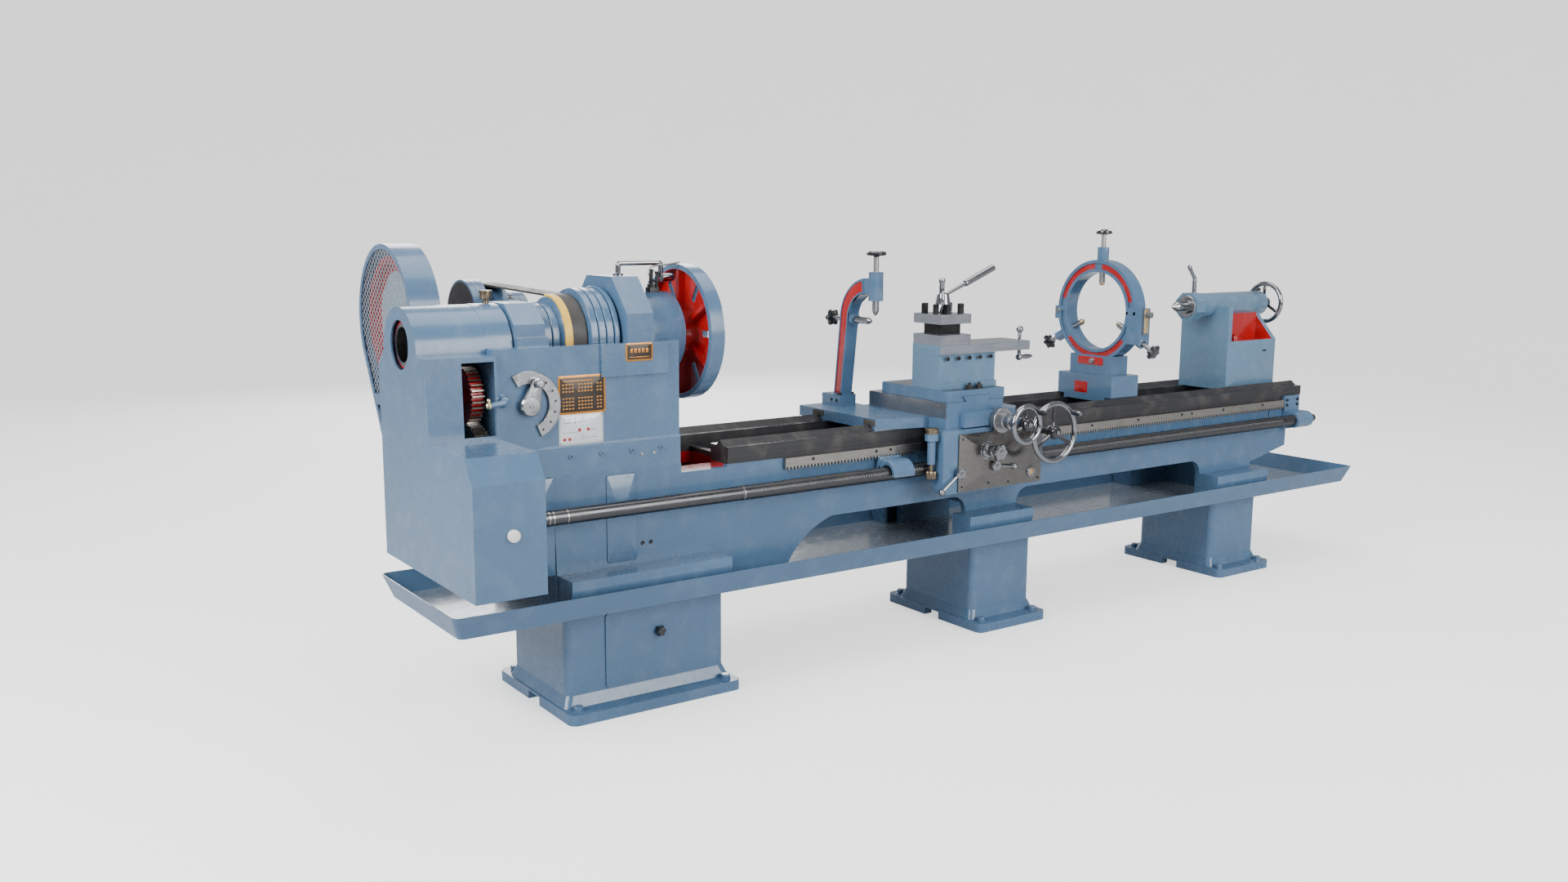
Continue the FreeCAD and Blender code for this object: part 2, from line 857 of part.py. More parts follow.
    def loft(self, kind, plane, sections):
        """Loft between outlines, each with its level."""
        drawings = [self.draw(plane, level, [loop]) for level, loop in sections]
        feature = self.body.newObject("PartDesign::" + kind, self.named(kind))
        feature.Profile = (drawings[0], [""])
        feature.Sections = [(drawing, [""]) for drawing in drawings[1:]]
        feature.Ruled = True
        self.body.Tip = feature
        return feature

    def repeat_round(self, features, count):
        """Repeat features about the body's own Z axis."""
        pattern = self.body.newObject("PartDesign::PolarPattern", self.named("pattern"))
        pattern.Originals = features
        pattern.Axis = (self.origin("Z_Axis"), [""])
        pattern.Angle = 360
        pattern.Occurrences = count
        self.body.Tip = pattern
        return pattern

    def place(self, x=0, y=0, z=0, turn=UPRIGHT):
        put(self.body, x, y, z, turn)
        return self


def cylinder(name, radius, length, x=0, y=0, z=0, turn=UPRIGHT):
    """Make a cylinder that starts at a place and runs along its turned Z axis."""
    item = doc.addObject("Part::Cylinder", name)
    bind(item, "Radius", radius)
    bind(item, "Height", length)
    return put(item, x, y, z, turn)


def cone(name, low_radius, high_radius, length, x=0, y=0, z=0, turn=UPRIGHT):
    """Make a cone that starts at a place and runs along its turned Z axis."""
    item = doc.addObject("Part::Cone", name)
    bind(item, "Radius1", low_radius)
    bind(item, "Radius2", high_radius)
    bind(item, "Height", length)
    return put(item, x, y, z, turn)


def bar(name, radius, length, sides, x=0, y=0, z=0, turn=UPRIGHT):
    """Make a bar with flat sides that starts at a place and runs along its turned Z axis."""
    item = doc.addObject("Part::Prism", name)
    item.Polygon = sides
    bind(item, "Circumradius", radius)
    bind(item, "Height", length)
    return put(item, x, y, z, turn)


def bead(name, radius, x=0, y=0, z=0):
    """Make a ball with flat faces, the room that three crossing bars share."""
    reach = radius / round(math.cos(math.pi / rod_sides), 9)
    flat = Rotation(Vector(0, 0, 1), 180 / rod_sides)
    bars = [bar(name + "_up", reach, radius * 4, rod_sides, x, y, z - radius * 2, flat),
            bar(name + "_along", reach, radius * 4, rod_sides, x - radius * 2, y, z,
                ALONG_X * flat),
            bar(name + "_across", reach, radius * 4, rod_sides, x, y + radius * 2, z,
                TO_FRONT * flat)]
    item = doc.addObject("Part::MultiCommon", name)
    item.Shapes = bars
    return item


def block(name, left, front, low, length, depth, height):
    """Make a box from its lowest corner and its three sizes."""
    item = doc.addObject("Part::Box", name)
    bind(item, "Length", length)
    bind(item, "Width", depth)
    bind(item, "Height", height)
    return put(item, left, front, low)


def fused(name, items, node=True):
    """Fuse objects into one piece."""
    item = doc.addObject("Part::MultiFuse", name)
    item.Label = name
    item.Shapes = items
    item.Refine = True
    if node:
        NODES[name] = item
    return item


def cut(name, base, tools, node=True):
    """Cut tools from a base."""
    tool = tools[0] if len(tools) == 1 else fused(name + "_tools", tools, node=False)
    item = doc.addObject("Part::Cut", name)
    item.Label = name
    item.Base = base
    item.Tool = tool
    item.Refine = True
    if node:
        NODES[name] = item
    return item


def grouped(name, items):
    """Keep alike pieces as separate solids of one node."""
    item = doc.addObject("Part::Compound", name)
    item.Label = name
    item.Links = items
    NODES[name] = item
    return item


def rounded(left, low, right, high, bend):
    """Return a rectangle with round corners."""
    return [(left + bend, low), (right - bend, low, bend),
            (right, low + bend), (right, high - bend, bend),
            (right - bend, high), (left + bend, high, bend),
            (left, high - bend), (left, low + bend, bend)]


def lobes(piece, start, depth, radius, count):
    """Add a knob of round lobes about the piece's own axis."""
    lobe = radius * knob_lobe_share
    piece.pad("XY_Plane", [sided(0, 0, radius * knob_core_share, hub_sides)], start, start + depth)
    tip = piece.pad("XY_Plane", [sided(radius - lobe, 0, lobe, rod_sides)], start, start + depth)
    piece.repeat_round([tip], count)


def round_loop(first, first_radius, last, last_radius):
    """Return the outline of a belt round two pulleys, given their centres and radii."""
    across = last[0] - first[0]
    up = last[1] - first[1]
    distance = root(across * across + up * up)
    along = (first_radius - last_radius) / distance
    beside = root(1 - along * along)
    across = across / distance
    up = up / distance

    def touch(centre, radius, side):
        return (centre[0] + radius * (along * across - side * beside * up),
                centre[1] + radius * (along * up + side * beside * across))

    far_first = (first[0] - first_radius * across, first[1] - first_radius * up, first_radius)
    far_last = (last[0] + last_radius * across, last[1] + last_radius * up, last_radius)
    return [touch(first, first_radius, 1) + (first_radius,), far_first,
            touch(first, first_radius, -1),
            touch(last, last_radius, -1) + (last_radius,), far_last,
            touch(last, last_radius, 1)]


def handwheel(piece, radius, back, shaft_start):
    """Turn a wheel about the piece's own axis: a shaft, a hub, a rim, spokes and a handle."""
    rim = d.wheel_rim
    hub = d.wheel_hub_radius
    piece.pad("XY_Plane", [disc(0, 0, d.wheel_shaft_radius)], shaft_start, back)
    piece.pad("XY_Plane", [sided(0, 0, hub, hub_sides)], back, back + d.wheel_hub_depth)
    middle = back + d.wheel_hub_depth / 2
    slope = rim * rim_face_share
    piece.pad("XY_Plane", [sided(0, 0, radius, rim_sides), sided(0, 0, radius - 2 * rim, rim_sides)],
              middle - slope, middle + slope)
    width = d.wheel_spoke_radius
    spoke = piece.pad("XY_Plane", [rectangle(hub / 2, -width, radius - rim, width)],
                      middle - width * spoke_thickness_share, middle + width * spoke_thickness_share)
    piece.repeat_round([spoke], spoke_count)
    across, up = polar(sized(0), sized(0), radius - rim, handle_angle)
    piece.pad("XY_Plane", [sided(across, up, d.wheel_handle_radius, rod_sides)], middle,
              middle + d.wheel_handle_length)


def leg(name, left, length, rooms):
    """Cast a leg open below, with a foot, a swelling, an arch in its left side and inner ribs."""
    right = left + length
    body_left = left + d.foot_side_step
    body_right = right - d.foot_side_step
    half = d.leg_half_depth
    foot = d.foot_thickness
    swell = d.foot_swell
    wall = d.leg_wall
    piece = Piece(name)
    piece.pad("XY_Plane", [rounded(left, -d.foot_half_depth, right, d.foot_half_depth,
                                   d.leg_corner)], 0, foot)
    piece.pad("XY_Plane", [rounded(body_left, -half, body_right, half, d.leg_corner)],
              foot, d.leg_height)
    piece.loft("AdditiveLoft", "XY_Plane", [
        (foot, rounded(body_left - swell, -half - swell, body_right + swell, half + swell,
                       d.leg_corner)),
        (foot + d.foot_swell_height, rounded(body_left, -half, body_right, half, d.leg_corner))])
    room = (body_right - body_left - wall) / rooms
    piece.pocket("XY_Plane", [rectangle(body_left + wall + room * index, wall - half,
                                        body_left + room * (index + 1), half - wall)
                              for index in range(rooms)], -d.overrun, d.leg_height - wall)
    arch = d.foot_arch_width / 2
    piece.pocket("YZ_Plane", [rectangle(-arch, -d.overrun, arch, d.foot_arch_height)],
                 left - d.overrun, body_left + wall + d.overrun)
    return piece


def door_left():
    return d.door_side - d.left_foot_reach


def legs():
    """Make the three legs; the left one has an opening behind its door."""
    left = leg("leg_left", -d.left_foot_reach, d.left_foot_length, 1)
    inset = d.door_overlap
    left.pocket("XZ_Plane", [rounded(door_left() + inset, d.door_sill + inset,
                                     door_left() + d.door_width - inset,
                                     d.door_sill + d.door_height - inset, d.door_corner)],
                -d.leg_half_depth - d.overrun, d.leg_wall + d.overrun - d.leg_half_depth)
    leg("leg_middle", -d.small_foot_length / 2, d.small_foot_length, 2)
    leg("leg_right", d.right_foot_reach - d.small_foot_length, d.small_foot_length, 2)


def door():
    """Make the plate that shuts the left leg, and its knob, whose stem goes through the plate."""
    piece = Piece("leg_door")
    face = -d.leg_half_depth - d.door_thickness
    knob_x = door_left() + d.door_knob_side
    piece.pad("XZ_Plane", [rounded(door_left(), d.door_sill, door_left() + d.door_width,
                                   d.door_sill + d.door_height, d.door_corner)],
              face, -d.leg_half_depth)
    piece.pocket("XZ_Plane", [disc(knob_x, d.door_knob_height, d.door_stem_radius + d.bore_gap)],
                 face - d.overrun, d.overrun - d.leg_half_depth)
    knob = Piece("door_knob")
    lobes(knob, 0, d.door_knob_depth, d.door_knob_radius, lobe_count)
    knob.pad("XY_Plane", [disc(0, 0, d.door_stem_radius)], -d.door_thickness - d.overrun, 0)
    knob.place(knob_x, face, d.door_knob_height, TO_FRONT)


def tray_loop(flare, inset):
    left = d.tray_left_reach + flare - inset
    right = d.tray_right_reach + flare - inset
    half = d.tray_half_depth + flare - inset
    return rounded(-left, -half, right, half, d.tray_corner)


def chip_tray():
    """Bend the long tray that catches chips; its walls lean outwards."""
    low = d.leg_height
    high = low + d.tray_lip_height
    sheet_gap = d.tray_sheet
    piece = Piece("chip_tray")
    piece.loft("AdditiveLoft", "XY_Plane", [(low, tray_loop(0, 0)), (high, tray_loop(d.tray_flare, 0))])
    piece.loft("SubtractiveLoft", "XY_Plane", [
        (low + sheet_gap, tray_loop(0, sheet_gap)),
        (high + sheet_gap, tray_loop(d.tray_flare, sheet_gap))])


def bed_cells(half):
    """Return the openings between the bed's cross ribs."""
    rib = d.rib_thickness
    first = rib - d.bed_left_reach
    pitch = (d.bed_wall_right_reach - first) / cell_count
    return [rectangle(first + pitch * index, -half, first + pitch * (index + 1) - rib, half)
            for index in range(cell_count)]


def both_sides(points):
    """Return a section on the front and its mirror on the back."""
    return [points, [(-point[0], point[1]) for point in reversed(points)]]


def bed():
    """Cast the gap bed: outline with two arches, cross ribs, two ways with ridges and foot skirts."""
    base = d.leg_height + d.tray_sheet
    half = d.bed_half_width
    arch = d.arch_height
    corner = d.arch_corner
    piece = Piece("bed")
    piece.pad("XZ_Plane", [[
        (-d.pedestal_left_reach, base),
        (-d.left_pedestal_right_reach, base, -d.arch_bend),
        (d.arch_run - d.left_pedestal_right_reach, arch),
        (-d.middle_pedestal_left_reach - corner, arch, -corner),
        (-d.middle_pedestal_left_reach, arch - corner),
        (-d.middle_pedestal_left_reach, base),
        (d.middle_pedestal_right_reach, base),
        (d.middle_pedestal_right_reach, arch - corner, -corner),
        (d.middle_pedestal_right_reach + corner, arch),
        (d.right_pedestal_left - corner, arch, -corner),
        (d.right_pedestal_left, arch - corner),
        (d.right_pedestal_left, base),
        (d.right_pedestal_right, base),
        (d.right_pedestal_right, d.bed_end_low),
        (d.bed_wall_right_reach, d.bed_end_high),
        (d.bed_wall_right_reach, d.bed_step_height),
        (d.bed_right_reach, d.bed_step_height),
        (d.bed_right_reach, d.deck_height),
        (-d.gap_right_reach, d.deck_height),
        (-d.gap_right_reach, d.gap_floor_height),
        (-d.gap_left_reach, d.gap_floor_height),
        (-d.gap_left_reach, d.seat_height),
        (-d.bed_left_reach, d.seat_height)]], -half, half)
    way = d.way_height
    ridge = d.ridge_offset
    piece.pad("YZ_Plane", both_sides([
        (-d.way_half_width, d.deck_height),
        (-d.way_inner_half_gap, d.deck_height),
        (-d.way_inner_half_gap, way),
        (d.ridge_half_width - ridge, way),
        (-ridge, way + d.ridge_height),
        (-d.ridge_half_width - ridge, way),
        (-d.way_half_width, way)]), -d.gap_right_reach, d.bed_right_reach)
    skirt = both_sides([
        (-d.skirt_foot_half_depth, base),
        (-half, base),
        (-half, d.skirt_height),
        (-d.skirt_top_half_depth, d.skirt_height),
        (-d.skirt_top_half_depth, d.skirt_bend_height)])
    spans = [(-d.pedestal_left_reach, -d.left_skirt_right_reach),
             (-d.middle_skirt_left_reach, d.middle_pedestal_right_reach),
             (d.right_pedestal_left, d.right_pedestal_right)]
    for left, right in spans:
        piece.pad("YZ_Plane", skirt, left, right)
    wall = d.skirt_wall
    hollows = []
    for left, right in spans:
        for side in (-1, 1):
            near = side * half
            far = side * (d.skirt_foot_half_depth - wall)
            hollows.append(rectangle(left + wall, near, right - wall, far))
    piece.pocket("XY_Plane", hollows, base - d.overrun, d.skirt_height - wall)
    piece.pocket("XY_Plane", bed_cells(half - d.bed_wall), base - d.overrun, d.rail_low)
    piece.pocket("XY_Plane", bed_cells(d.way_inner_half_gap), d.rail_low - d.overrun,
                 d.seat_height + d.overrun)
    piece.pocket("XZ_Plane", [rectangle(-d.panel_left_reach, d.panel_low, d.panel_right,
                                        d.panel_high)], -half - d.overrun, d.panel_depth - half)


def bed_rack():
    """Cut the rack whose teeth point down."""
    back = -d.bed_half_width
    front = back - d.rack_thickness
    low = d.deck_height - d.rack_height
    left = -d.rack_left_reach
    pitch = d.rack_pitch
    piece = Piece("bed_rack")
    piece.pad("XZ_Plane", [rectangle(left, low, left + d.rack_length, d.deck_height)], front, back)
    count = int(SIZES["rack_length"] / SIZES["rack_pitch"])
    middle = left + pitch / 2
    foot = pitch * tooth_root_share / 2
    head = pitch * tooth_tip_share / 2
    gap = piece.pocket("XZ_Plane", [[(middle - foot, low - d.overrun), (middle + foot, low - d.overrun),
                                     (middle + foot, low), (middle + head, low + d.rack_tooth_depth),
                                     (middle - head, low + d.rack_tooth_depth), (middle - foot, low)]],
                       front - d.overrun, back + d.overrun)
    pattern = piece.body.newObject("PartDesign::LinearPattern", piece.named("pattern"))
    pattern.Originals = [gap]
    pattern.Direction = (piece.origin("X_Axis"), [""])
    bind(pattern, "Length", pitch * (count - 1))
    pattern.Occurrences = count
    piece.body.Tip = pattern


def gear_root(count):
    return d.gear_module * (count / 2 - tooth_depth_share)


def teeth(piece, count, start, end):
    """Add straight gear teeth round the piece's own axis."""
    module = d.gear_module
    foot = gear_root(count) - module / 2
    tip = module * (count / 2 + tooth_height_share)
    wide = module * (math.pi * tooth_root_share / 2)
    narrow = module * (math.pi * tooth_tip_share / 2)
    tooth = piece.pad("XY_Plane", [[(foot, -wide), (tip, -narrow), (tip, narrow), (foot, wide)]],
                      start, end)
    piece.repeat_round([tooth], count)


def gear_turn(angle):
    """Turn a gear so that one tooth points at an angle from the back towards the top."""
    return ALONG_X * Rotation(Vector(0, 0, 1), angle + 90)


def meshed_angle(first, first_angle, first_teeth, second, second_teeth):
    """Return the angle of a second gear whose teeth fall in the gaps of the first."""
    line = math.degrees(math.atan2((second[1] - first[1]).number, (second[0] - first[0]).number))
    first_pitch = 360 / first_teeth
    second_pitch = 360 / second_teeth
    place = (line - first_angle) / first_pitch
    return line + 180 - second_pitch * (0.5 - place)


def gear_places():
    """Return the centres of the four gears and the angles of their teeth."""
    module = d.gear_module
    spindle = (sized(0), d.axis_height)
    reach = module * ((spindle_teeth + tumbler_teeth) / 2)
    tumbler = (-d.tumbler_offset,
               d.axis_height - root(reach * reach - d.tumbler_offset * d.tumbler_offset))
    screw = (-d.screw_offset, d.screw_height)
    near = module * ((tumbler_teeth + change_teeth) / 2)
    far = module * ((change_teeth + screw_teeth) / 2)
    across = screw[0] - tumbler[0]
    up = screw[1] - tumbler[1]
    distance = root(across * across + up * up)
    along = (near * near - far * far + distance * distance) / (2 * distance)
    beside = root(near * near - along * along)
    change = (tumbler[0] + (along * across - beside * up) / distance,
              tumbler[1] + (along * up + beside * across) / distance)
    tumbler_angle = meshed_angle(spindle, 0, spindle_teeth, tumbler, tumbler_teeth)
    change_angle = meshed_angle(tumbler, tumbler_angle, tumbler_teeth, change, change_teeth)
    screw_angle = meshed_angle(change, change_angle, change_teeth, screw, screw_teeth)
    return tumbler, tumbler_angle, change, change_angle, screw_angle


def loose_gear(name, centre, angle, count):
    """Turn and cut a gear with a hub, a web and a rim, free on its stud."""
    left = -d.gear_left_reach
    right = left + d.gear_width
    web = (d.gear_width - d.gear_web) / 2
    hub = d.gear_hub_radius
    bore = d.gear_stud_radius + d.bore_gap
    rim = gear_root(count) - d.gear_rim
    piece = Piece(name)
    piece.pad("XY_Plane", [sided(0, 0, gear_root(count), count), disc(0, 0, bore)], left, right)
    for low, high in ((left - d.overrun, left + web), (right - web, right + d.overrun)):
        piece.pocket("XY_Plane", [sided(0, 0, rim, gear_sides), sided(0, 0, hub, hub_sides)],
                     low, high)
    teeth(piece, count, left, right)
    piece.place(0, centre[0], centre[1], gear_turn(angle))


def change_gears():
    tumbler, tumbler_angle, change, change_angle, screw_angle = gear_places()
    loose_gear("tumbler_gear", tumbler, tumbler_angle, tumbler_teeth)
    loose_gear("change_gear", change, change_angle, change_teeth)


def lead_screw():
    """Turn the lead screw with its gear."""
    left = -d.gear_left_reach
    gear_right = left + d.gear_width
    journal = d.screw_journal_radius
    radius = d.screw_radius
    seat = 2 * d.overrun - d.head_left_reach
    piece = Piece("lead_screw")
    piece.turned([(0, left - d.overrun), (journal, left - d.overrun), (journal, seat),
                  (radius, seat), (radius, d.bracket_left - d.running_gap),
                  (journal, d.bracket_left - d.running_gap), (journal, d.screw_right_reach),
                  (0, d.screw_right_reach)])
    piece.pad("XY_Plane", [sided(0, 0, gear_root(screw_teeth), screw_teeth)], left, gear_right)
    teeth(piece, screw_teeth, left, gear_right)
    piece.place(0, -d.screw_offset, d.screw_height, gear_turn(gear_places()[4]))


def lead_screw_bracket():
    """Cast the right bearing of the lead screw, with its plate on the bed's front."""
    left = d.bracket_left
    right = left + d.bracket_length
    front = -d.screw_offset
    boss = d.bracket_radius
    wall = -d.bed_half_width
    piece = Piece("lead_screw_bracket")
    piece.pad("XZ_Plane", [rectangle(left, d.bracket_low, right, d.deck_height)],
              wall - d.bracket_thickness, wall)
    piece.pad("YZ_Plane", [[(front, d.screw_height - boss), (wall, d.screw_height - boss),
                            (wall, d.screw_height + boss), (front, d.screw_height + boss)]],
              left, right)
    piece.pad("YZ_Plane", [sided(front, d.screw_height, boss, hub_sides)], left, right)
    piece.pocket("YZ_Plane", [disc(front, d.screw_height, d.screw_journal_radius + d.bore_gap)],
                 left - d.overrun, right + d.overrun)


def headstock():
    """Cast the headstock: box with a flange, trough for the cone, drum over the gear, gear plate."""
    left = -d.head_left_reach
    right = -d.head_right_reach
    half = d.head_half_width
    wide = half + d.head_flange_step
    base = d.seat_height
    top = d.head_top
    ledge = base + d.head_flange_height
    step = d.head_flange_step
    axis = d.axis_height
    piece = Piece("headstock")
    piece.pad("YZ_Plane", [mirrored([(wide, base), (wide, ledge), (half, ledge + step),
                                     (half, top)])], left, right)
    piece.pad("XZ_Plane", [rectangle(-d.swell_left_reach, top - d.swell_height,
                                     -d.swell_right_reach, top)], -half - d.swell_step, -half)
    piece.pad("YZ_Plane", [sided(0, axis - d.rear_ring_drop, d.rear_ring_radius, rim_sides)],
              left, -d.rear_ring_right_reach)
    piece.pad("YZ_Plane", [sided(0, axis, d.drum_radius, rim_sides)], -d.drum_left_reach,
              -d.drum_right_reach)
    change = gear_places()[2]
    screw = (-d.screw_offset, d.screw_height)
    boss = d.gear_plate_boss
    corner = (screw[0] + boss, change[1])
    piece.pad("YZ_Plane", [[(screw[0] - boss, screw[1]), (screw[0] + boss, screw[1]),
                            (change[0] + boss, change[1] - boss), (change[0] + boss, change[1]),
                            corner, (screw[0] - boss, change[1] - boss)]],
              left - d.gear_plate, left + d.overrun)
    piece.pad("YZ_Plane", [sided(screw[0], screw[1], boss, hub_sides)], left - d.gear_plate,
              left + d.overrun)
    for centre in (gear_places()[0], change):
        piece.pad("YZ_Plane", [disc(centre[0], centre[1], d.gear_stud_radius)],
                  -d.gear_left_reach, left + d.overrun)
    piece.pocket("YZ_Plane", [sided(0, axis, d.trough_radius, gear_sides)], -d.trough_left_reach,
                 -d.trough_right_reach)
    piece.pocket("XZ_Plane", [rectangle(-d.trough_left_reach, d.trough_back_low,
                                        -d.trough_right_reach, top + d.overrun)],
                 0, half + d.overrun)
    wall = d.head_wall
    piece.pocket("XY_Plane", [rectangle(left + wall, wall - half, right - wall, half - wall)],
                 base - d.overrun, base + d.head_hollow_height)
    piece.pocket("YZ_Plane", [sided(0, axis, d.drum_radius - d.drum_wall, gear_sides)],
                 d.drum_wall - d.drum_left_reach, -d.drum_right_reach - d.drum_wall)
    piece.pocket("YZ_Plane", [disc(0, axis, d.spindle_radius + d.bore_gap)], left - d.overrun,
                 d.overrun - d.drum_right_reach)
    piece.pocket("YZ_Plane", [disc(screw[0], screw[1], d.screw_journal_radius + d.bore_gap)],
                 left - d.gear_plate - d.overrun, left + 2 * d.overrun)


def bearing_caps():
    """Cast the two caps that close the spindle bearings."""
    top = d.head_top
    flange = top + d.cap_flange_height
    for name, left, right, wide, half, shoulder, crown, rise in (
            ("rear_bearing_cap", -d.rear_cap_left_reach, -d.trough_left_reach,
             d.cap_flange_half_width, d.rear_cap_half_width, d.rear_cap_shoulder,
             d.rear_cap_crown, d.rear_cap_top),
            ("front_bearing_cap", -d.trough_right_reach, -d.front_cap_right_reach,
             d.head_half_width, d.front_cap_half_width, d.front_cap_shoulder,
             d.front_cap_crown, d.front_cap_top)):
        piece = Piece(name)
        piece.pad("YZ_Plane", [mirrored([(wide, top), (wide, flange), (half, flange),
                                         (half, top + shoulder), (crown, top + rise)])],
                  left, right)
        piece.pocket("YZ_Plane", [disc(0, d.axis_height, d.spindle_radius + d.bore_gap)],
                     left - d.overrun, right + d.overrun)


def spindle():
    """Turn the hollow spindle with its two gears."""
    left = -d.spindle_left_reach
    right = -d.nose_right_reach
    radius = d.spindle_radius
    gear_left = -d.gear_left_reach
    gear_right = gear_left + d.gear_width
    piece = Piece("spindle")
    bore = disc(0, 0, d.spindle_bore)
    piece.pad("XY_Plane", [disc(0, 0, radius), bore], left, right)
    piece.pad("XY_Plane", [sided(0, 0, gear_root(spindle_teeth), spindle_teeth), bore],
              gear_left, gear_right)
    piece.pad("XY_Plane", [sided(0, 0, d.bull_gear_radius, rim_sides), bore],
              -d.bull_gear_left_reach, -d.bull_gear_right_reach)
    teeth(piece, spindle_teeth, gear_left, gear_right)
    piece.place(0, 0, d.axis_height, gear_turn(0))


def cone_pulley():
    """Turn the stepped pulley on the spindle; its large step ends in a rim."""
    piece = Piece("cone_pulley")
    bore = disc(0, 0, d.spindle_radius)
    start = -d.cone_left_reach
    first = start + d.cone_small_length
    second = first + d.cone_step_length
    third = second + d.cone_step_length
    for radius, low, high in ((d.cone_small_radius, start, first),
                              (d.cone_middle_radius, first, second),
                              (d.cone_large_radius, second, third),
                              (d.cone_large_radius + d.cone_rim_step, third,
                               third + d.cone_rim_length)):
        piece.pad("XY_Plane", [sided(0, 0, radius, rim_sides), bore], low, high)
    piece.place(0, 0, d.axis_height, ALONG_X)


def face_plate():
    """Turn the faceplate: front plate, rim ring, hub, back ribs and slots."""
    back = -d.plate_back_reach
    front = -d.plate_front_reach
    web = front - d.plate_web
    hub = d.plate_hub_radius
    rim = d.plate_radius - d.plate_rim
    bore = d.spindle_radius
    piece = Piece("face_plate")
    outside = sided(0, 0, d.plate_radius, plate_sides)
    piece.pad("XY_Plane", [outside, disc(0, 0, bore)], web, front)
    piece.pad("XY_Plane", [outside, sided(0, 0, rim, plate_sides)], back, web)
    piece.pad("XY_Plane", [sided(0, 0, hub, gear_sides), disc(0, 0, bore)],
              -d.plate_hub_back_reach, web)
    half = d.plate_rib / 2
    rib = piece.pad("XY_Plane", [rectangle(bore + half, -half, rim + half, half)],
                    back + half, web)
    piece.repeat_round([rib], plate_rib_count)
    slot = d.plate_slot_half_width
    turn = math.radians(180 / plate_rib_count)
    ahead = (round(math.cos(turn), 9), round(math.sin(turn), 9))
    aside = (-ahead[1], ahead[0])

    def slot_point(reach, side):
        return (reach * ahead[0] + side * slot * aside[0], reach * ahead[1] + side * slot * aside[1])

    cut_slot = piece.pocket("XY_Plane", [[slot_point(d.plate_slot_inner, -1),
                                          slot_point(d.plate_slot_outer, -1),
                                          slot_point(d.plate_slot_outer, 1),
                                          slot_point(d.plate_slot_inner, 1)]],
                            web - d.overrun, front + d.overrun)
    piece.repeat_round([cut_slot], plate_rib_count)
    piece.place(0, 0, d.axis_height, ALONG_X)


def counter_centre():
    return (d.counter_offset, d.counter_height)


def spindle_belt():
    """Bend the flat belt from the spindle's cone to the countershaft's."""
    left = d.cone_small_length - d.cone_left_reach + d.cone_groove
    gap = d.running_gap
    thick = d.flat_belt_thickness
    near = d.cone_middle_radius + gap
    far = d.counter_sum - d.cone_middle_radius + gap
    centre = (sized(0), d.axis_height)
    piece = Piece("spindle_belt")
    piece.pad("YZ_Plane", [round_loop(centre, near + thick, counter_centre(), far + thick),
                           round_loop(centre, near, counter_centre(), far)],
              left, left + d.flat_belt_width)


def countershaft():
    """Turn the countershaft with its stepped pulley."""
    sum_of_radii = d.counter_sum
    shaft = d.counter_shaft_radius
    piece = Piece("countershaft_cone")
    piece.pad("XY_Plane", [disc(0, 0, shaft)], -d.counter_shaft_left_reach,
              -d.counter_shaft_right_reach)
    start = -d.cone_left_reach
    first = start + d.cone_small_length
    second = first + d.cone_step_length
    third = second + d.cone_step_length
    for radius, low, high in ((sum_of_radii - d.cone_small_radius, start, first),
                              (sum_of_radii - d.cone_middle_radius, first, second),
                              (sum_of_radii - d.cone_large_radius, second, third)):
        piece.pad("XY_Plane", [sided(0, 0, radius, rim_sides)], low, high)
    piece.place(0, d.counter_offset, d.counter_height, ALONG_X)


def vee_pulley(piece, start, radius, sides, inner):
    """Turn a pulley with two grooves, given the loops of its bore."""
    width = d.driven_width
    half = d.vee_groove_half_width
    deep = radius - d.vee_groove_depth
    first = start + width / 2 - d.vee_belt_pitch / 2
    second = first + d.vee_belt_pitch
    for size, low, high in ((radius, start, first - half), (deep, first - half, first + half),
                            (radius, first + half, second - half),
                            (deep, second - half, second + half),
                            (radius, second + half, start + width)):
        piece.pad("XY_Plane", [sided(0, 0, size, sides)] + inner, low, high)


def driven_pulley():
    """Turn the large V-belt pulley on the countershaft, thinned between its hub and its rim."""
    start = -d.driven_left_reach
    end = start + d.driven_width
    web = (d.driven_width - d.driven_web) / 2
    hub = d.hanger_boss_radius
    rim = d.driven_radius - d.driven_rim
    piece = Piece("driven_pulley")
    vee_pulley(piece, start, d.driven_radius, rim_sides, [disc(0, 0, d.counter_shaft_radius)])
    for low, high in ((start - d.overrun, start + web), (end - web, end + d.overrun)):
        piece.pocket("XY_Plane", [sided(0, 0, rim, rim_sides), sided(0, 0, hub, hub_sides)],
                     low, high)
    piece.place(0, d.counter_offset, d.counter_height, ALONG_X)


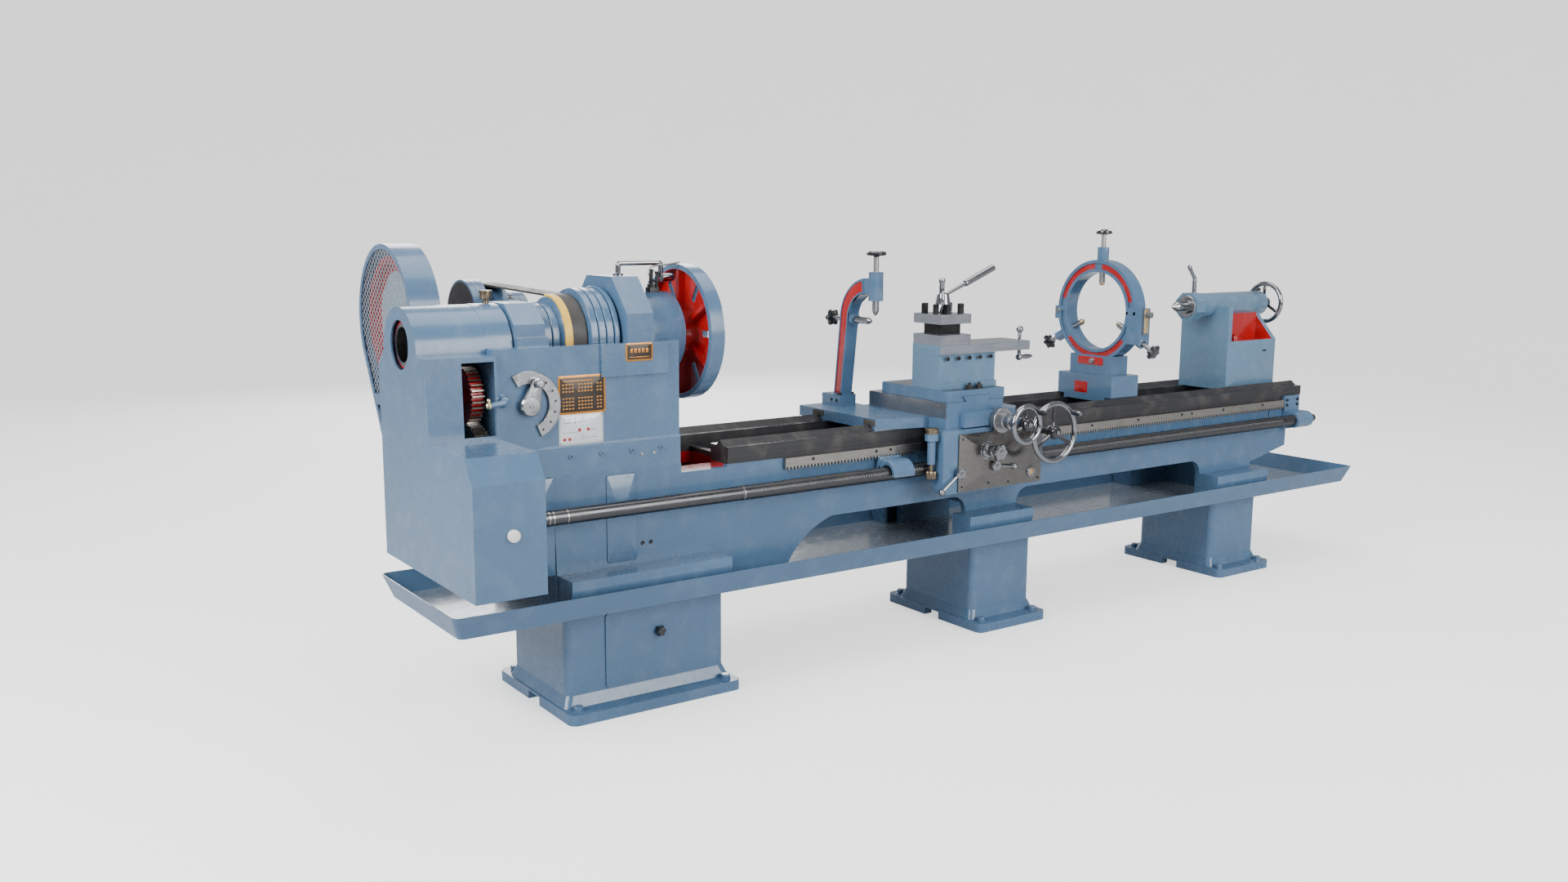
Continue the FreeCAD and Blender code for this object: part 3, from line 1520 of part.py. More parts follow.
def countershaft_brackets():
    """Weld the two hangers behind the headstock and the shelf that carries the motor."""
    wall = d.head_half_width
    boss = d.hanger_boss_radius
    centre, height = counter_centre()
    shelf_end = centre + boss * 2
    piece = Piece("countershaft_brackets")
    for index in range(2):
        left = d.hanger_pitch * index - d.hanger_left_reach
        right = left + d.hanger_thickness
        piece.pad("YZ_Plane", [[(wall, d.hanger_low), (centre - boss * 2, d.hanger_shelf_low),
                                (shelf_end, d.hanger_shelf_low), (shelf_end, d.hanger_shelf_high),
                                (centre + boss, height), (centre - boss, height),
                                (centre - boss * 2, d.hanger_shelf_high),
                                (wall, d.hanger_shelf_high)]], left, right)
        piece.pad("YZ_Plane", [sided(centre, height, boss, hub_sides)], left, right)
        piece.pocket("YZ_Plane", [disc(centre, height, d.counter_shaft_radius + d.bore_gap)],
                     left - d.overrun, right + d.overrun)
    piece.pad("YZ_Plane", [rectangle(centre - boss * 2, d.hanger_shelf_low, shelf_end,
                                     d.hanger_shelf_low + d.hanger_shelf_thickness)],
              -d.hanger_left_reach, d.hanger_pitch + d.hanger_thickness - d.hanger_left_reach)


def drive_motor():
    """Build the motor under the shelf: round body, a foot up to the shelf and its shaft."""
    left = -d.motor_left_reach
    middle = left + d.motor_length / 2
    foot = d.motor_foot
    piece = Piece("drive_motor")
    piece.pad("YZ_Plane", [sided(d.motor_offset, d.motor_height, d.motor_radius, gear_sides)],
              left, left + d.motor_length)
    piece.pad("YZ_Plane", [rectangle(d.motor_offset - foot, d.motor_height, d.motor_offset + foot,
                                     d.hanger_shelf_low)], middle - foot, middle + foot)
    piece.pocket("YZ_Plane", [disc(d.motor_offset, d.motor_height,
                                   d.motor_shaft_radius + d.bore_gap)],
                 left - d.overrun, left + foot + d.overrun)


def motor_pulley():
    """Turn the motor's shaft end with its small V-belt pulley."""
    piece = Piece("motor_pulley")
    start = -d.driven_left_reach
    shaft = d.motor_shaft_radius
    end = d.motor_foot - d.motor_left_reach
    vee_pulley(piece, start, d.motor_pulley_radius, gear_sides, [])
    piece.pad("XY_Plane", [disc(0, 0, shaft)], start, end)
    piece.place(0, d.motor_offset, d.motor_height, ALONG_X)


def drive_belts():
    """Bend the two V belts, each a closed band."""
    deep = d.vee_groove_depth - d.vee_belt_depth
    middle = d.driven_width / 2 - d.driven_left_reach
    motor = (d.motor_offset, d.motor_height)
    high = d.driven_radius - deep
    low = d.motor_pulley_radius - deep
    thick = d.vee_belt_depth - deep
    belts = []
    for side in (-1, 1):
        piece = Piece("drive_belt_{}".format(side + 2), node=False)
        centre = middle + d.vee_belt_pitch * (side / 2)
        half = d.vee_belt_half_width * vee_floor_share
        piece.pad("YZ_Plane", [round_loop(counter_centre(), high, motor, low),
                               round_loop(counter_centre(), high - thick, motor, low - thick)],
                  centre - half, centre + half)
        belts.append(piece.body)
    grouped("drive_belts", belts)


def belt_guard():
    """Fold the guard over the V belts: face, edge and the band across its middle."""
    left = -d.belt_guard_left_reach
    right = left + d.belt_guard_depth
    sheet_wall = d.belt_guard_sheet
    motor = (d.motor_offset, d.motor_height)

    def outline(inset):
        return round_loop(counter_centre(), d.belt_guard_radius - inset, motor,
                          d.belt_guard_low_radius - inset)

    piece = Piece("belt_guard")
    piece.pad("YZ_Plane", [outline(0)], left, right)
    piece.pocket("YZ_Plane", [outline(sheet_wall)], left + sheet_wall, right + d.overrun)
    piece.pocket("YZ_Plane", [outline(d.belt_guard_rim)], left - d.overrun,
                 left + sheet_wall + d.overrun)
    corners = outline(d.belt_guard_rim / 2)
    high_left, low_left = corners[0], corners[5]
    high_right, low_right = corners[2], corners[3]

    def between(high, low, share):
        return (high[0] + (low[0] - high[0]) * share, high[1] + (low[1] - high[1]) * share)

    first, last = guard_band_shares
    piece.pad("YZ_Plane", [[between(high_left, low_left, first), between(high_right, low_right, first),
                            between(high_right, low_right, last),
                            between(high_left, low_left, last)]], left, left + sheet_wall)
    mesh = Piece("belt_guard_mesh")
    mesh.pad("YZ_Plane", [outline(sheet_wall + d.running_gap)], left + sheet_wall,
             left + sheet_wall + d.mesh_thickness)


def end_guard_loop(inset):
    """Return the outline of the end guard, drawn in by the thickness of its sheet."""
    crown = d.end_guard_crown
    hump = d.end_guard_hump - inset
    return [(inset - d.end_guard_nose_offset, d.end_guard_bottom + inset),
            (d.end_guard_back - inset, d.end_guard_bottom + inset),
            (d.end_guard_back - inset, d.end_guard_back_shoulder - inset),
            (hump, crown, hump),
            (0, crown + hump, hump),
            (-hump, crown - inset),
            (inset - d.end_guard_brow, crown - inset),
            (inset - d.end_guard_front, d.end_guard_step_height - inset),
            (inset - d.end_guard_slope_offset, d.end_guard_step_height - inset),
            (inset - d.end_guard_nose_offset, d.end_guard_slope_height - inset)]


def end_guard():
    """Fold the cover over the change gears, with a hole for the spindle and a window in front."""
    left = -d.end_guard_left_reach
    right = -d.head_left_reach
    sheet_wall = d.end_guard_sheet
    piece = Piece("end_guard")
    piece.pad("YZ_Plane", [end_guard_loop(0)], left, right)
    piece.pocket("YZ_Plane", [end_guard_loop(sheet_wall)], left + sheet_wall, right + d.overrun)
    piece.pocket("YZ_Plane", [disc(0, d.axis_height, d.end_guard_hole)], left - d.overrun,
                 left + sheet_wall + d.overrun)
    piece.pocket("XZ_Plane", [rectangle(-d.end_window_left_reach, d.end_window_low,
                                        right - d.end_window_inset, d.end_window_high)],
                 -d.end_guard_front - d.overrun, 2 * sheet_wall - d.end_guard_brow)
    piece.pocket("XZ_Plane", [disc(-d.latch_x_reach, d.latch_height,
                                   d.door_stem_radius + d.bore_gap)],
                 -d.end_guard_nose_offset - d.overrun, 2 * sheet_wall - d.end_guard_nose_offset)
    knob = Piece("guard_latch")
    stem = d.door_stem_radius
    deep = d.latch_depth
    knob.pad("XY_Plane", [disc(0, 0, stem)], -sheet_wall - d.overrun, 0)
    knob.pad("XY_Plane", [sided(0, 0, d.latch_radius, gear_sides)], 0, deep / 2)
    knob.pad("XY_Plane", [sided(0, 0, d.latch_radius - deep / 2, gear_sides)], deep / 2, deep)
    knob.place(-d.latch_x_reach, -d.end_guard_nose_offset, d.latch_height, TO_FRONT)


def headstock_levers():
    """Make the reverse lever, the gearbox lever and the back-gear handle."""
    wall = d.head_half_width
    plate = d.lever_plate
    hub = d.tumbler_hub_radius
    lever = Piece("tumbler_lever")
    face = d.end_guard_front + plate / 2
    lever.pad("XY_Plane", [sided(0, 0, hub, hub_sides)], wall, face + plate)
    lever.pad("XY_Plane", [[(-d.tumbler_arm, -hub / 2), (0, -hub), (0, hub), (-d.tumbler_arm, hub / 2)]],
              face, face + plate)
    lever.pad("XY_Plane", [sided(-d.tumbler_arm, 0, hub / 2, hub_sides)], face, face + plate)
    lever.place(-d.tumbler_x_reach, 0, d.tumbler_height, TO_FRONT)
    lever = Piece("quadrant_lever")
    hub = d.quadrant_hub_radius
    knob = d.quadrant_knob_radius
    face = wall + d.quadrant_hub_depth
    lever.pad("XY_Plane", [sided(0, 0, hub, gear_sides)], wall, face)
    lever.pad("XY_Plane", [[(-hub / 2, 0), (hub / 2, 0), (knob, d.quadrant_arm),
                            (-knob, d.quadrant_arm)]], face - plate, face)
    lever.pad("XY_Plane", [sided(0, d.quadrant_arm, knob, hub_sides)], face - plate,
              wall + d.quadrant_knob_depth)
    lever.place(-d.quadrant_x_reach, 0, d.quadrant_height, TO_FRONT)
    rod = d.back_handle_radius
    foot = d.head_top + d.front_cap_top
    x = -d.back_handle_x_reach
    high = foot + d.back_handle_rise
    end = x + d.back_handle_length
    fused("back_gear_handle", [
        bar("handle_collar", rod * 2, rod, hub_sides, x, 0, foot),
        bar("handle_post", rod, d.back_handle_rise, rod_sides, x, 0, foot),
        bead("handle_bend", rod, x, 0, high),
        bar("handle_arm", rod, d.back_handle_length, rod_sides, x, 0, high, ALONG_X),
        bead("handle_elbow", rod, end, 0, high),
        bar("handle_drop", rod, d.back_handle_drop, rod_sides, end, 0, high - d.back_handle_drop),
        bar("handle_grip", d.back_handle_grip, d.back_handle_drop, hub_sides, end, 0,
            high - d.back_handle_drop, ALONG_X)])


def way_grooves(piece, left, right):
    """Cut the grooves that ride on the bed's two ridges."""
    gap = d.running_gap
    way = d.way_height
    ridge = d.ridge_offset
    wide = d.ridge_half_width + gap
    piece.pocket("YZ_Plane", both_sides([(-ridge - wide, way - d.overrun), (wide - ridge, way - d.overrun),
                                         (wide - ridge, way + gap),
                                         (-ridge, way + gap + d.ridge_height),
                                         (-ridge - wide, way + gap)]),
                 left - d.overrun, right + d.overrun)


def dovetail(half_low, half_high, low, high):
    return [(-half_low, low), (half_low, low), (half_high, high), (-half_high, high)]


def saddle():
    """Cast the saddle: two wings on the ways, a bridge across them and a nose in front."""
    left = -d.saddle_left_reach
    right = -d.saddle_right_reach
    low = d.way_height + d.running_gap
    top = d.saddle_top
    piece = Piece("saddle")
    corner = d.saddle_corner
    bend = d.bridge_bend
    bridge_left = -d.bridge_left_reach
    bridge_right = -d.bridge_right_reach
    piece.pad("XY_Plane", [[(left, corner - d.saddle_front), (left + d.saddle_chamfer_length, -d.saddle_front),
                            (right - corner, -d.saddle_front), (right, corner - d.saddle_front),
                            (right, d.bridge_back), (bridge_right + bend, d.bridge_back, -bend),
                            (bridge_right, d.bridge_back + bend), (bridge_left, d.bridge_back + bend),
                            (bridge_left, d.saddle_back), (left, d.saddle_back)]], low, top)
    piece.pad("XY_Plane", [rectangle(bridge_left, -d.bridge_front, bridge_right, d.bridge_back)],
              low, d.bridge_top)
    piece.pad("XZ_Plane", [rectangle(-d.nose_left_reach, d.nose_low,
                                     d.nose_length - d.nose_left_reach, d.nose_high)],
              -d.nose_front, -d.bridge_front)
    way_grooves(piece, left, right)
    middle = (-d.cross_left_reach - d.cross_right_reach) / 2
    shape = dovetail(d.key_half_bottom, d.key_half_top, d.bridge_top, d.bridge_top + d.key_depth)
    piece.pad("XZ_Plane", [[(middle + point[0], point[1]) for point in shape]],
              -d.bridge_front, d.bridge_back)
    piece.pocket("XZ_Plane", [disc(-d.cross_wheel_x_reach, d.cross_wheel_height,
                                   d.wheel_shaft_radius + d.bore_gap)],
                 -d.bridge_front - d.overrun, d.dial_radius + d.overrun - d.bridge_front)


def cross_slide():
    """Mill the cross slide with the dovetail under it."""
    left = -d.cross_left_reach
    right = -d.cross_right_reach
    low = d.bridge_top + d.running_gap
    high = d.bridge_top + d.cross_thickness
    front = -d.cross_front
    back = front + d.cross_length
    gap = d.running_gap
    middle = (left + right) / 2
    piece = Piece("cross_slide")
    piece.pad("XZ_Plane", [rectangle(left, low, right, high)], front, back)
    shape = dovetail(d.key_half_bottom + gap, d.key_half_top + gap, low - gap,
                     d.bridge_top + d.key_depth + gap)
    piece.pocket("XZ_Plane", [[(middle + point[0], point[1]) for point in shape]],
                 front - d.overrun, back + d.overrun)


def compound():
    """Mill the compound base and the top slide that moves along it."""
    left = -d.compound_left_reach
    right = left + d.compound_length
    front = -d.compound_front
    back = front + d.compound_depth
    low = d.bridge_top + d.cross_thickness
    top = d.compound_top
    waist = d.compound_waist
    flange = low + d.cross_thickness / 2
    gap = d.running_gap
    middle = (front + back) / 2
    base = Piece("compound_base")
    base.pad("XY_Plane", [rectangle(left, front, right, back)], low, flange)
    base.pad("XY_Plane", [rectangle(left, front + waist, right, back)], flange, top)
    shape = dovetail(d.top_key_half_bottom, d.top_key_half_top, top, top + d.top_key_depth)
    base.pad("YZ_Plane", [[(middle + point[0], point[1]) for point in shape]], left, right)
    slide = Piece("top_slide")
    end = left + d.top_slide_length
    high = top + d.top_slide_thickness
    slide.pad("XY_Plane", [rectangle(left, front, end, back)], top + gap, high)
    shape = dovetail(d.top_key_half_bottom + gap, d.top_key_half_top + gap, top,
                     top + d.top_key_depth + gap)
    slide.pocket("YZ_Plane", [[(middle + point[0], point[1]) for point in shape]],
                 left - d.overrun, end + d.overrun)
    post = left + d.post_size / 2
    slide.pad("XY_Plane", [disc(post, middle, d.post_stud_radius)], high, high + d.post_stud_height)
    return post, middle, high


def tool_post(x, y, low):
    """Mill the four-way tool post, its screws, and the nut and handle that clamp it."""
    half = d.post_size / 2
    waist_half = d.post_waist_size / 2
    first = low + d.post_low_plate
    second = first + d.post_waist
    top = second + d.post_top_plate
    piece = Piece("tool_post")
    piece.pad("XY_Plane", [rectangle(-half, -half, half, half)], low, first)
    piece.pad("XY_Plane", [rectangle(-waist_half, -waist_half, waist_half, waist_half)], first, second)
    piece.pad("XY_Plane", [rectangle(-half, -half, half, half)], second, top)
    piece.pocket("XY_Plane", [disc(0, 0, d.post_stud_radius + d.bore_gap)], low - d.overrun,
                 top + d.overrun)
    piece.place(x, y, 0)
    size = d.tool_screw_size
    near = half - d.tool_screw_inset
    side = d.tool_screw_side
    screws = []
    for index, (across, along) in enumerate((
            (near, -side), (near, side), (-near, -side), (-near, side),
            (-side, near), (side, near), (-side, -near), (side, -near))):
        screws.append(block("tool_screw_{}".format(index + 1), x + across - size / 2,
                            y + along - size / 2, top, size, size, d.tool_screw_height))
    grouped("tool_screws", screws)
    nut = top
    rod = d.clamp_rod_radius
    turn = Rotation(Vector(0, 0, 1), -clamp_handle_angle) * Rotation(Vector(0, 1, 0), clamp_rise_angle)
    tilt = math.radians(clamp_rise_angle)
    swing = math.radians(clamp_handle_angle)
    reach = d.clamp_rod_length
    rise = nut + d.nut_height - d.nut_top_radius / 2
    end_x = x + reach * round(math.sin(tilt) * math.cos(swing), 9)
    end_y = y - reach * round(math.sin(tilt) * math.sin(swing), 9)
    end_z = rise + reach * round(math.cos(tilt), 9)
    body = cut("clamp_nut", cone("clamp_cone", d.nut_base_radius, d.nut_top_radius, d.nut_height,
                                 x, y, nut),
               [cylinder("clamp_thread", d.post_stud_radius + d.bore_gap,
                         d.post_stud_height - (top - low) + d.overrun, x, y, nut - d.overrun)],
               node=False)
    fused("clamp_handle", [
        body,
        bar("clamp_rod", rod, reach, rod_sides, x, y, rise, turn),
        bar("clamp_grip", d.clamp_grip_radius, d.clamp_grip_length, hub_sides,
            x + (end_x - x) * clamp_knee_share, y + (end_y - y) * clamp_knee_share,
            rise + (end_z - rise) * clamp_knee_share, turn)])


def compound_crank():
    """Turn the ball crank on the top slide's right end."""
    end = d.top_slide_length - d.compound_left_reach
    throw = d.crank_throw
    ball_radius = d.crank_ball
    middle = end + d.crank_offset
    y = d.compound_depth / 2 - d.compound_front
    z = d.compound_top + d.top_slide_thickness / 2
    rod = d.crank_rod_radius
    fused("compound_crank", [
        bar("crank_hub", ball_radius, middle + ball_radius - end, hub_sides, end, y, z, ALONG_X),
        bar("crank_rod", rod, throw * 2, rod_sides, middle, y, z - throw),
        bead("crank_high_ball", ball_radius, middle, y, z + throw),
        bead("crank_low_ball", ball_radius, middle, y, z - throw),
        bar("crank_handle", d.crank_handle_radius, d.crank_handle_length, hub_sides, middle, y,
            z - throw, ALONG_X)])


def carriage_wheels():
    """Turn the cross-feed handwheel with its dial and the carriage handwheel."""
    wheel = Piece("cross_handwheel")
    front = d.bridge_front
    handwheel(wheel, d.cross_wheel_radius, d.cross_wheel_offset, front - d.dial_radius)
    dial = d.nose_front + d.running_gap
    wheel.pad("XY_Plane", [sided(0, 0, d.dial_radius, gear_sides)], dial, dial + d.dial_width)
    wheel.place(-d.cross_wheel_x_reach, 0, d.cross_wheel_height, TO_FRONT)
    wheel = Piece("carriage_handwheel")
    handwheel(wheel, d.carriage_wheel_radius, d.carriage_wheel_offset, d.apron_back)
    wheel.place(d.carriage_wheel_x, 0, d.carriage_wheel_height, TO_FRONT)


def apron():
    """Cast the apron: front box, neck up to the saddle, nut box round the screw, dial ear."""
    left = -d.apron_left_reach
    right = -d.apron_right_reach
    low = d.apron_low
    top = d.way_height + d.running_gap
    front = -d.apron_front
    back = -d.apron_back
    piece = Piece("apron")
    piece.pad("XZ_Plane", [rounded(left, low, right, top, d.apron_corner)], front, back)
    piece.pad("XY_Plane", [rectangle(left + d.apron_corner, front + d.apron_corner,
                                     right - d.apron_corner, -d.apron_neck_back)],
              top - d.apron_neck_height, top)
    box_left = -d.nut_box_left_reach
    box_right = box_left + d.nut_box_length
    half = d.nut_box_half_height
    piece.pad("YZ_Plane", [rectangle(back, d.screw_height - half, -d.nut_box_back,
                                     d.screw_height + half)], box_left, box_right)
    piece.pocket("YZ_Plane", [disc(-d.screw_offset, d.screw_height, d.screw_radius + d.running_gap)],
                 box_left - d.overrun, box_right + d.overrun)
    x = -d.thread_dial_x_reach
    y = -d.thread_dial_offset
    ear = d.thread_dial_radius
    high = d.thread_dial_top - d.thread_dial_depth - d.running_gap
    piece.pad("XY_Plane", [sided(x, y, ear, hub_sides)], high - d.thread_ear_height, high)
    piece.pad("XY_Plane", [rectangle(x, y - ear / 2, left + d.apron_corner, y + ear / 2)],
              high - d.thread_ear_height, high)
    piece.pocket("XY_Plane", [disc(x, y, d.thread_shaft_radius + d.bore_gap)],
                 high - d.thread_ear_height - d.overrun, high + d.overrun)
    for reach, height, stem in (
            (-d.carriage_wheel_x, d.carriage_wheel_height, d.wheel_shaft_radius),
            (d.star_x_reach, d.star_height, d.star_stem_radius),
            (d.feed_lever_x_reach, d.feed_lever_height, d.lever_rod_radius),
            (d.half_nut_x_reach, d.half_nut_height, d.lever_rod_radius)):
        piece.pocket("XZ_Plane", [disc(-reach, height, stem + d.bore_gap)], front - d.overrun,
                     back + d.overrun)
    dial = Piece("thread_dial")
    shaft = d.thread_shaft_radius
    low = d.screw_height - d.thread_gear_height
    dial.pad("XY_Plane", [sided(0, 0, d.thread_gear_radius, gear_sides)], low,
             low + d.thread_gear_height)
    dial.pad("XY_Plane", [disc(0, 0, shaft)], low + d.thread_gear_height, high + d.running_gap)
    dial.pad("XY_Plane", [sided(0, 0, ear, gear_sides)], high + d.running_gap, d.thread_dial_top)
    dial.place(x, y, 0)


def apron_controls():
    """Turn the feed clutch knob and the two levers of the apron."""
    front = d.apron_front
    inside = d.apron_back + d.overrun
    knob = Piece("star_knob")
    out = front + d.star_stem_length
    knob.pad("XY_Plane", [disc(0, 0, d.star_stem_radius)], inside, out)
    knob.pad("XY_Plane", [sided(0, 0, d.lever_hub_radius, hub_sides)], front,
             front + d.star_stem_length / 2)
    lobes(knob, out, d.star_depth, d.star_radius, lobe_count)
    knob.place(-d.star_x_reach, 0, d.star_height, TO_FRONT)
    for name, reach, height, length, angle in (
            ("feed_lever", d.feed_lever_x_reach, d.feed_lever_height, d.feed_lever_length,
             feed_lever_angle),
            ("half_nut_lever", d.half_nut_x_reach, d.half_nut_height, d.half_nut_length,
             half_nut_angle)):
        z = height
        rod = d.lever_rod_radius
        middle = front + d.lever_hub_depth / 2
        turn = math.radians(angle)
        across = round(math.cos(turn), 9)
        up = round(math.sin(turn), 9)
        fused(name, [
            cylinder(name + "_pin", rod, middle - inside, -reach, -inside, z, TO_FRONT),
            bar(name + "_hub", d.lever_hub_radius, d.lever_hub_depth, hub_sides, -reach, -front, z,
                TO_FRONT),
            bar(name + "_rod", rod, length, rod_sides, -reach, -middle, z,
                Rotation(Vector(0, 1, 0), 90 - angle)),
            bead(name + "_ball", d.lever_ball_radius, length * across - reach, -middle,
                 z + length * up)])


def follow_rest():
    """Cast the curved follow rest on the saddle's left wing, with its two jaws and knobs."""
    left = -d.follow_x_reach - d.follow_width / 2
    right = left + d.follow_width
    low = d.saddle_top
    base = low + d.follow_base_height
    axis = d.axis_height
    boss = d.follow_boss_radius
    side = d.follow_side_radius
    piece = Piece("follow_rest")
    foot_left = -d.follow_x_reach - d.follow_base_length / 2
    piece.pad("XY_Plane", [rectangle(foot_left, d.follow_base_front,
                                     foot_left + d.follow_base_length, d.follow_base_back)],
              low, base)
    high = axis + d.follow_boss_high
    piece.pad("YZ_Plane", [[(d.follow_arm_inner, base), (d.follow_arm_outer, base),
                            (d.follow_neck_outer, axis, d.follow_outer_bend),
                            (boss, axis + d.follow_outer_bend), (0, axis + d.follow_outer_bend),
                            (0, axis + d.follow_inner_bend),
                            (boss, axis + d.follow_inner_bend, -d.follow_inner_bend),
                            (d.follow_neck_inner, axis)]], left, right)
    piece.pad("XY_Plane", [sided(-d.follow_x_reach, 0, boss, hub_sides)],
              axis + d.follow_boss_low, high)
    out = d.follow_neck_inner - d.follow_boss_radius + d.follow_side_length
    piece.pad("XZ_Plane", [sided(-d.follow_x_reach, axis, side, hub_sides)],
              d.follow_neck_inner - d.follow_boss_radius / 2, out)
    bore = d.rest_jaw_radius + d.bore_gap
    piece.pocket("XY_Plane", [disc(-d.follow_x_reach, 0, bore)], axis + d.follow_boss_low - d.overrun,
                 high + d.overrun)
    piece.pocket("XZ_Plane", [disc(-d.follow_x_reach, axis, bore)], d.follow_jaw_low,
                 out + d.overrun)
    jaw = d.rest_jaw_radius
    screw = d.rest_screw_radius
    top = Piece("follow_top_screw")
    tip = d.follow_jaw_low
    top.turned([(0, tip), (jaw / 2, tip), (jaw, tip + jaw), (jaw, d.follow_boss_high - jaw),
                (screw, d.follow_boss_high - jaw), (screw, d.follow_knob_rise),
                (0, d.follow_knob_rise)])
    top.pad("XY_Plane", [sided(0, 0, d.follow_knob_radius, gear_sides)], d.follow_knob_rise,
            d.follow_knob_rise + d.follow_knob_depth)
    top.place(-d.follow_x_reach, 0, axis)
    side_screw = Piece("follow_side_screw")
    star = d.follow_star_offset
    side_screw.turned([(0, tip), (jaw / 2, tip), (jaw, tip + jaw), (jaw, out - jaw),
                       (screw, out - jaw), (screw, star), (0, star)])
    lobes(side_screw, star, d.rest_star_depth, d.rest_star_radius, lobe_count)
    side_screw.place(-d.follow_x_reach, 0, axis, TO_BACK)


def radial(angle):
    """Return the turn that points a piece's own axis out from the spindle axis."""
    return Rotation(Vector(1, 0, 0), angle - 90)


def steady_bore(name, angle):
    """Return the bore of a jaw, from inside the ring to the end of its boss."""
    start = d.steady_jaw_reach
    y, z = polar(sized(0), d.axis_height, start, angle)
    return cylinder(name, d.rest_jaw_radius + d.bore_gap, d.steady_boss_outer - start + d.overrun,
                    d.steady_x, y, z, radial(angle))


def steady_boss(name, angle):
    y, z = polar(sized(0), d.axis_height, d.steady_ring_inner + d.overrun, angle)
    return bar(name, d.steady_boss_radius, d.steady_boss_outer - d.steady_ring_inner - d.overrun,
               hub_sides, d.steady_x, y, z, radial(angle))


def half_ring(name, upper):
    """Cast one half of the steady's ring, with a groove round both faces."""
    left = d.steady_x - d.steady_width / 2
    right = left + d.steady_width
    axis = d.axis_height
    outer = d.steady_ring_outer
    inner = d.steady_ring_inner
    deep = d.steady_groove_depth
    flange = d.steady_flange
    split = axis - d.steady_split_drop
    piece = Piece(name, node=False)
    piece.pad("YZ_Plane", [sided(0, axis, outer, rim_sides), sided(0, axis, inner, rim_sides)],
              left, right)
    for low, high in ((left - d.overrun, left + deep), (right - deep, right + d.overrun)):
        piece.pocket("YZ_Plane", [sided(0, axis, outer - flange, rim_sides),
                                  sided(0, axis, inner + flange, rim_sides)], low, high)
    far = outer + d.overrun
    if upper:
        loop = rectangle(-far, axis - far, far, split + d.steady_split_gap)
    else:
        loop = rectangle(-far, split, far, axis + far)
    piece.pocket("YZ_Plane", [loop], left - d.overrun, right + d.overrun)
    return piece


def steady_rest():
    """Cast the steady rest: base, pedestal and two half rings with a hinge and a clamp."""
    x = d.steady_x
    axis = d.axis_height
    split = axis - d.steady_split_drop
    left = x - d.steady_width / 2
    right = left + d.steady_width
    hinge = d.steady_hinge_radius
    hinge_y = d.steady_hinge_y
    lower = half_ring("steady_lower_ring", upper=False)
    base_left = x - d.steady_base_length / 2
    base_right = base_left + d.steady_base_length
    low = d.way_height
    foot = d.steady_pedestal_half_width
    wide = d.steady_base_half_width
    shoulder = low + d.ridge_height + d.running_gap
    lower.pad("YZ_Plane", [mirrored([(foot, low), (foot, shoulder), (wide, shoulder),
                                     (wide, d.steady_base_top)])], base_left, base_right)
    half = d.steady_pedestal_length / 2
    lower.pad("XY_Plane", [rectangle(x - half, -foot, x + half, foot)], d.steady_base_top,
              d.steady_pedestal_top)
    lower.pad("YZ_Plane", [rectangle(hinge_y - hinge, split - hinge * 2, hinge_y + hinge,
                                     split)], left, right)
    front = -d.steady_clamp_front
    lower.pad("YZ_Plane", [rectangle(front, d.steady_clamp_low, -d.steady_ring_inner - d.steady_flange / 2,
                                     split)], left, right)
    cut("steady_rest_base", fused("steady_lower", [
        lower.body, steady_boss("steady_back_boss", lower_jaw_angles[0]),
        steady_boss("steady_front_boss", lower_jaw_angles[1])], node=False),
        [steady_bore("steady_back_bore", lower_jaw_angles[0]),
         steady_bore("steady_front_bore", lower_jaw_angles[1])])
    upper = half_ring("steady_upper_ring", upper=True)
    split = split + d.steady_split_gap
    upper.pad("YZ_Plane", [rectangle(d.steady_ring_inner + d.steady_flange / 2, split, hinge_y + hinge,
                                     split + hinge)],
              left, right)
    upper.pad("YZ_Plane", [rectangle(front, split, -d.steady_ring_inner - d.steady_flange / 2,
                                     d.steady_clamp_high)], left, right)
    cut("steady_rest_cap", fused("steady_upper", [
        upper.body, steady_boss("steady_top_boss", 90)], node=False),
        [steady_bore("steady_top_bore", 90)])
    clamp = Piece("steady_clamp")
    face = d.steady_clamp_front
    strip = d.steady_clamp_sheet
    middle = d.steady_width / 4
    clamp.pad("XY_Plane", [rectangle(-middle, d.steady_strip_low, middle, d.steady_clamp_high)],
              face, face + strip)
    clamp.pad("XY_Plane", [sided(0, d.steady_clamp_high - d.steady_clamp_knob,
                                 d.steady_clamp_knob / 2, hub_sides)], face + strip,
              face + strip + d.steady_clamp_knob)
    clamp.place(x, 0, 0, TO_FRONT)
    for name, angle, count in (("steady_jaw_top", 90, lobe_count),
                               ("steady_jaw_back", lower_jaw_angles[0], lobe_count),
                               ("steady_jaw_front", lower_jaw_angles[1], lobe_count)):
        jaw = d.rest_jaw_radius
        screw = d.rest_screw_radius
        tip = d.steady_jaw_reach
        end = d.steady_jaw_outer - d.rest_star_depth
        piece = Piece(name)
        piece.pad("XY_Plane", [disc(0, 0, jaw)], tip, d.steady_boss_outer - jaw)
        piece.pad("XY_Plane", [disc(0, 0, screw)], d.steady_boss_outer - jaw, end)
        lobes(piece, end, d.rest_star_depth, d.rest_star_radius, count)
        piece.place(x, 0, axis, radial(angle))


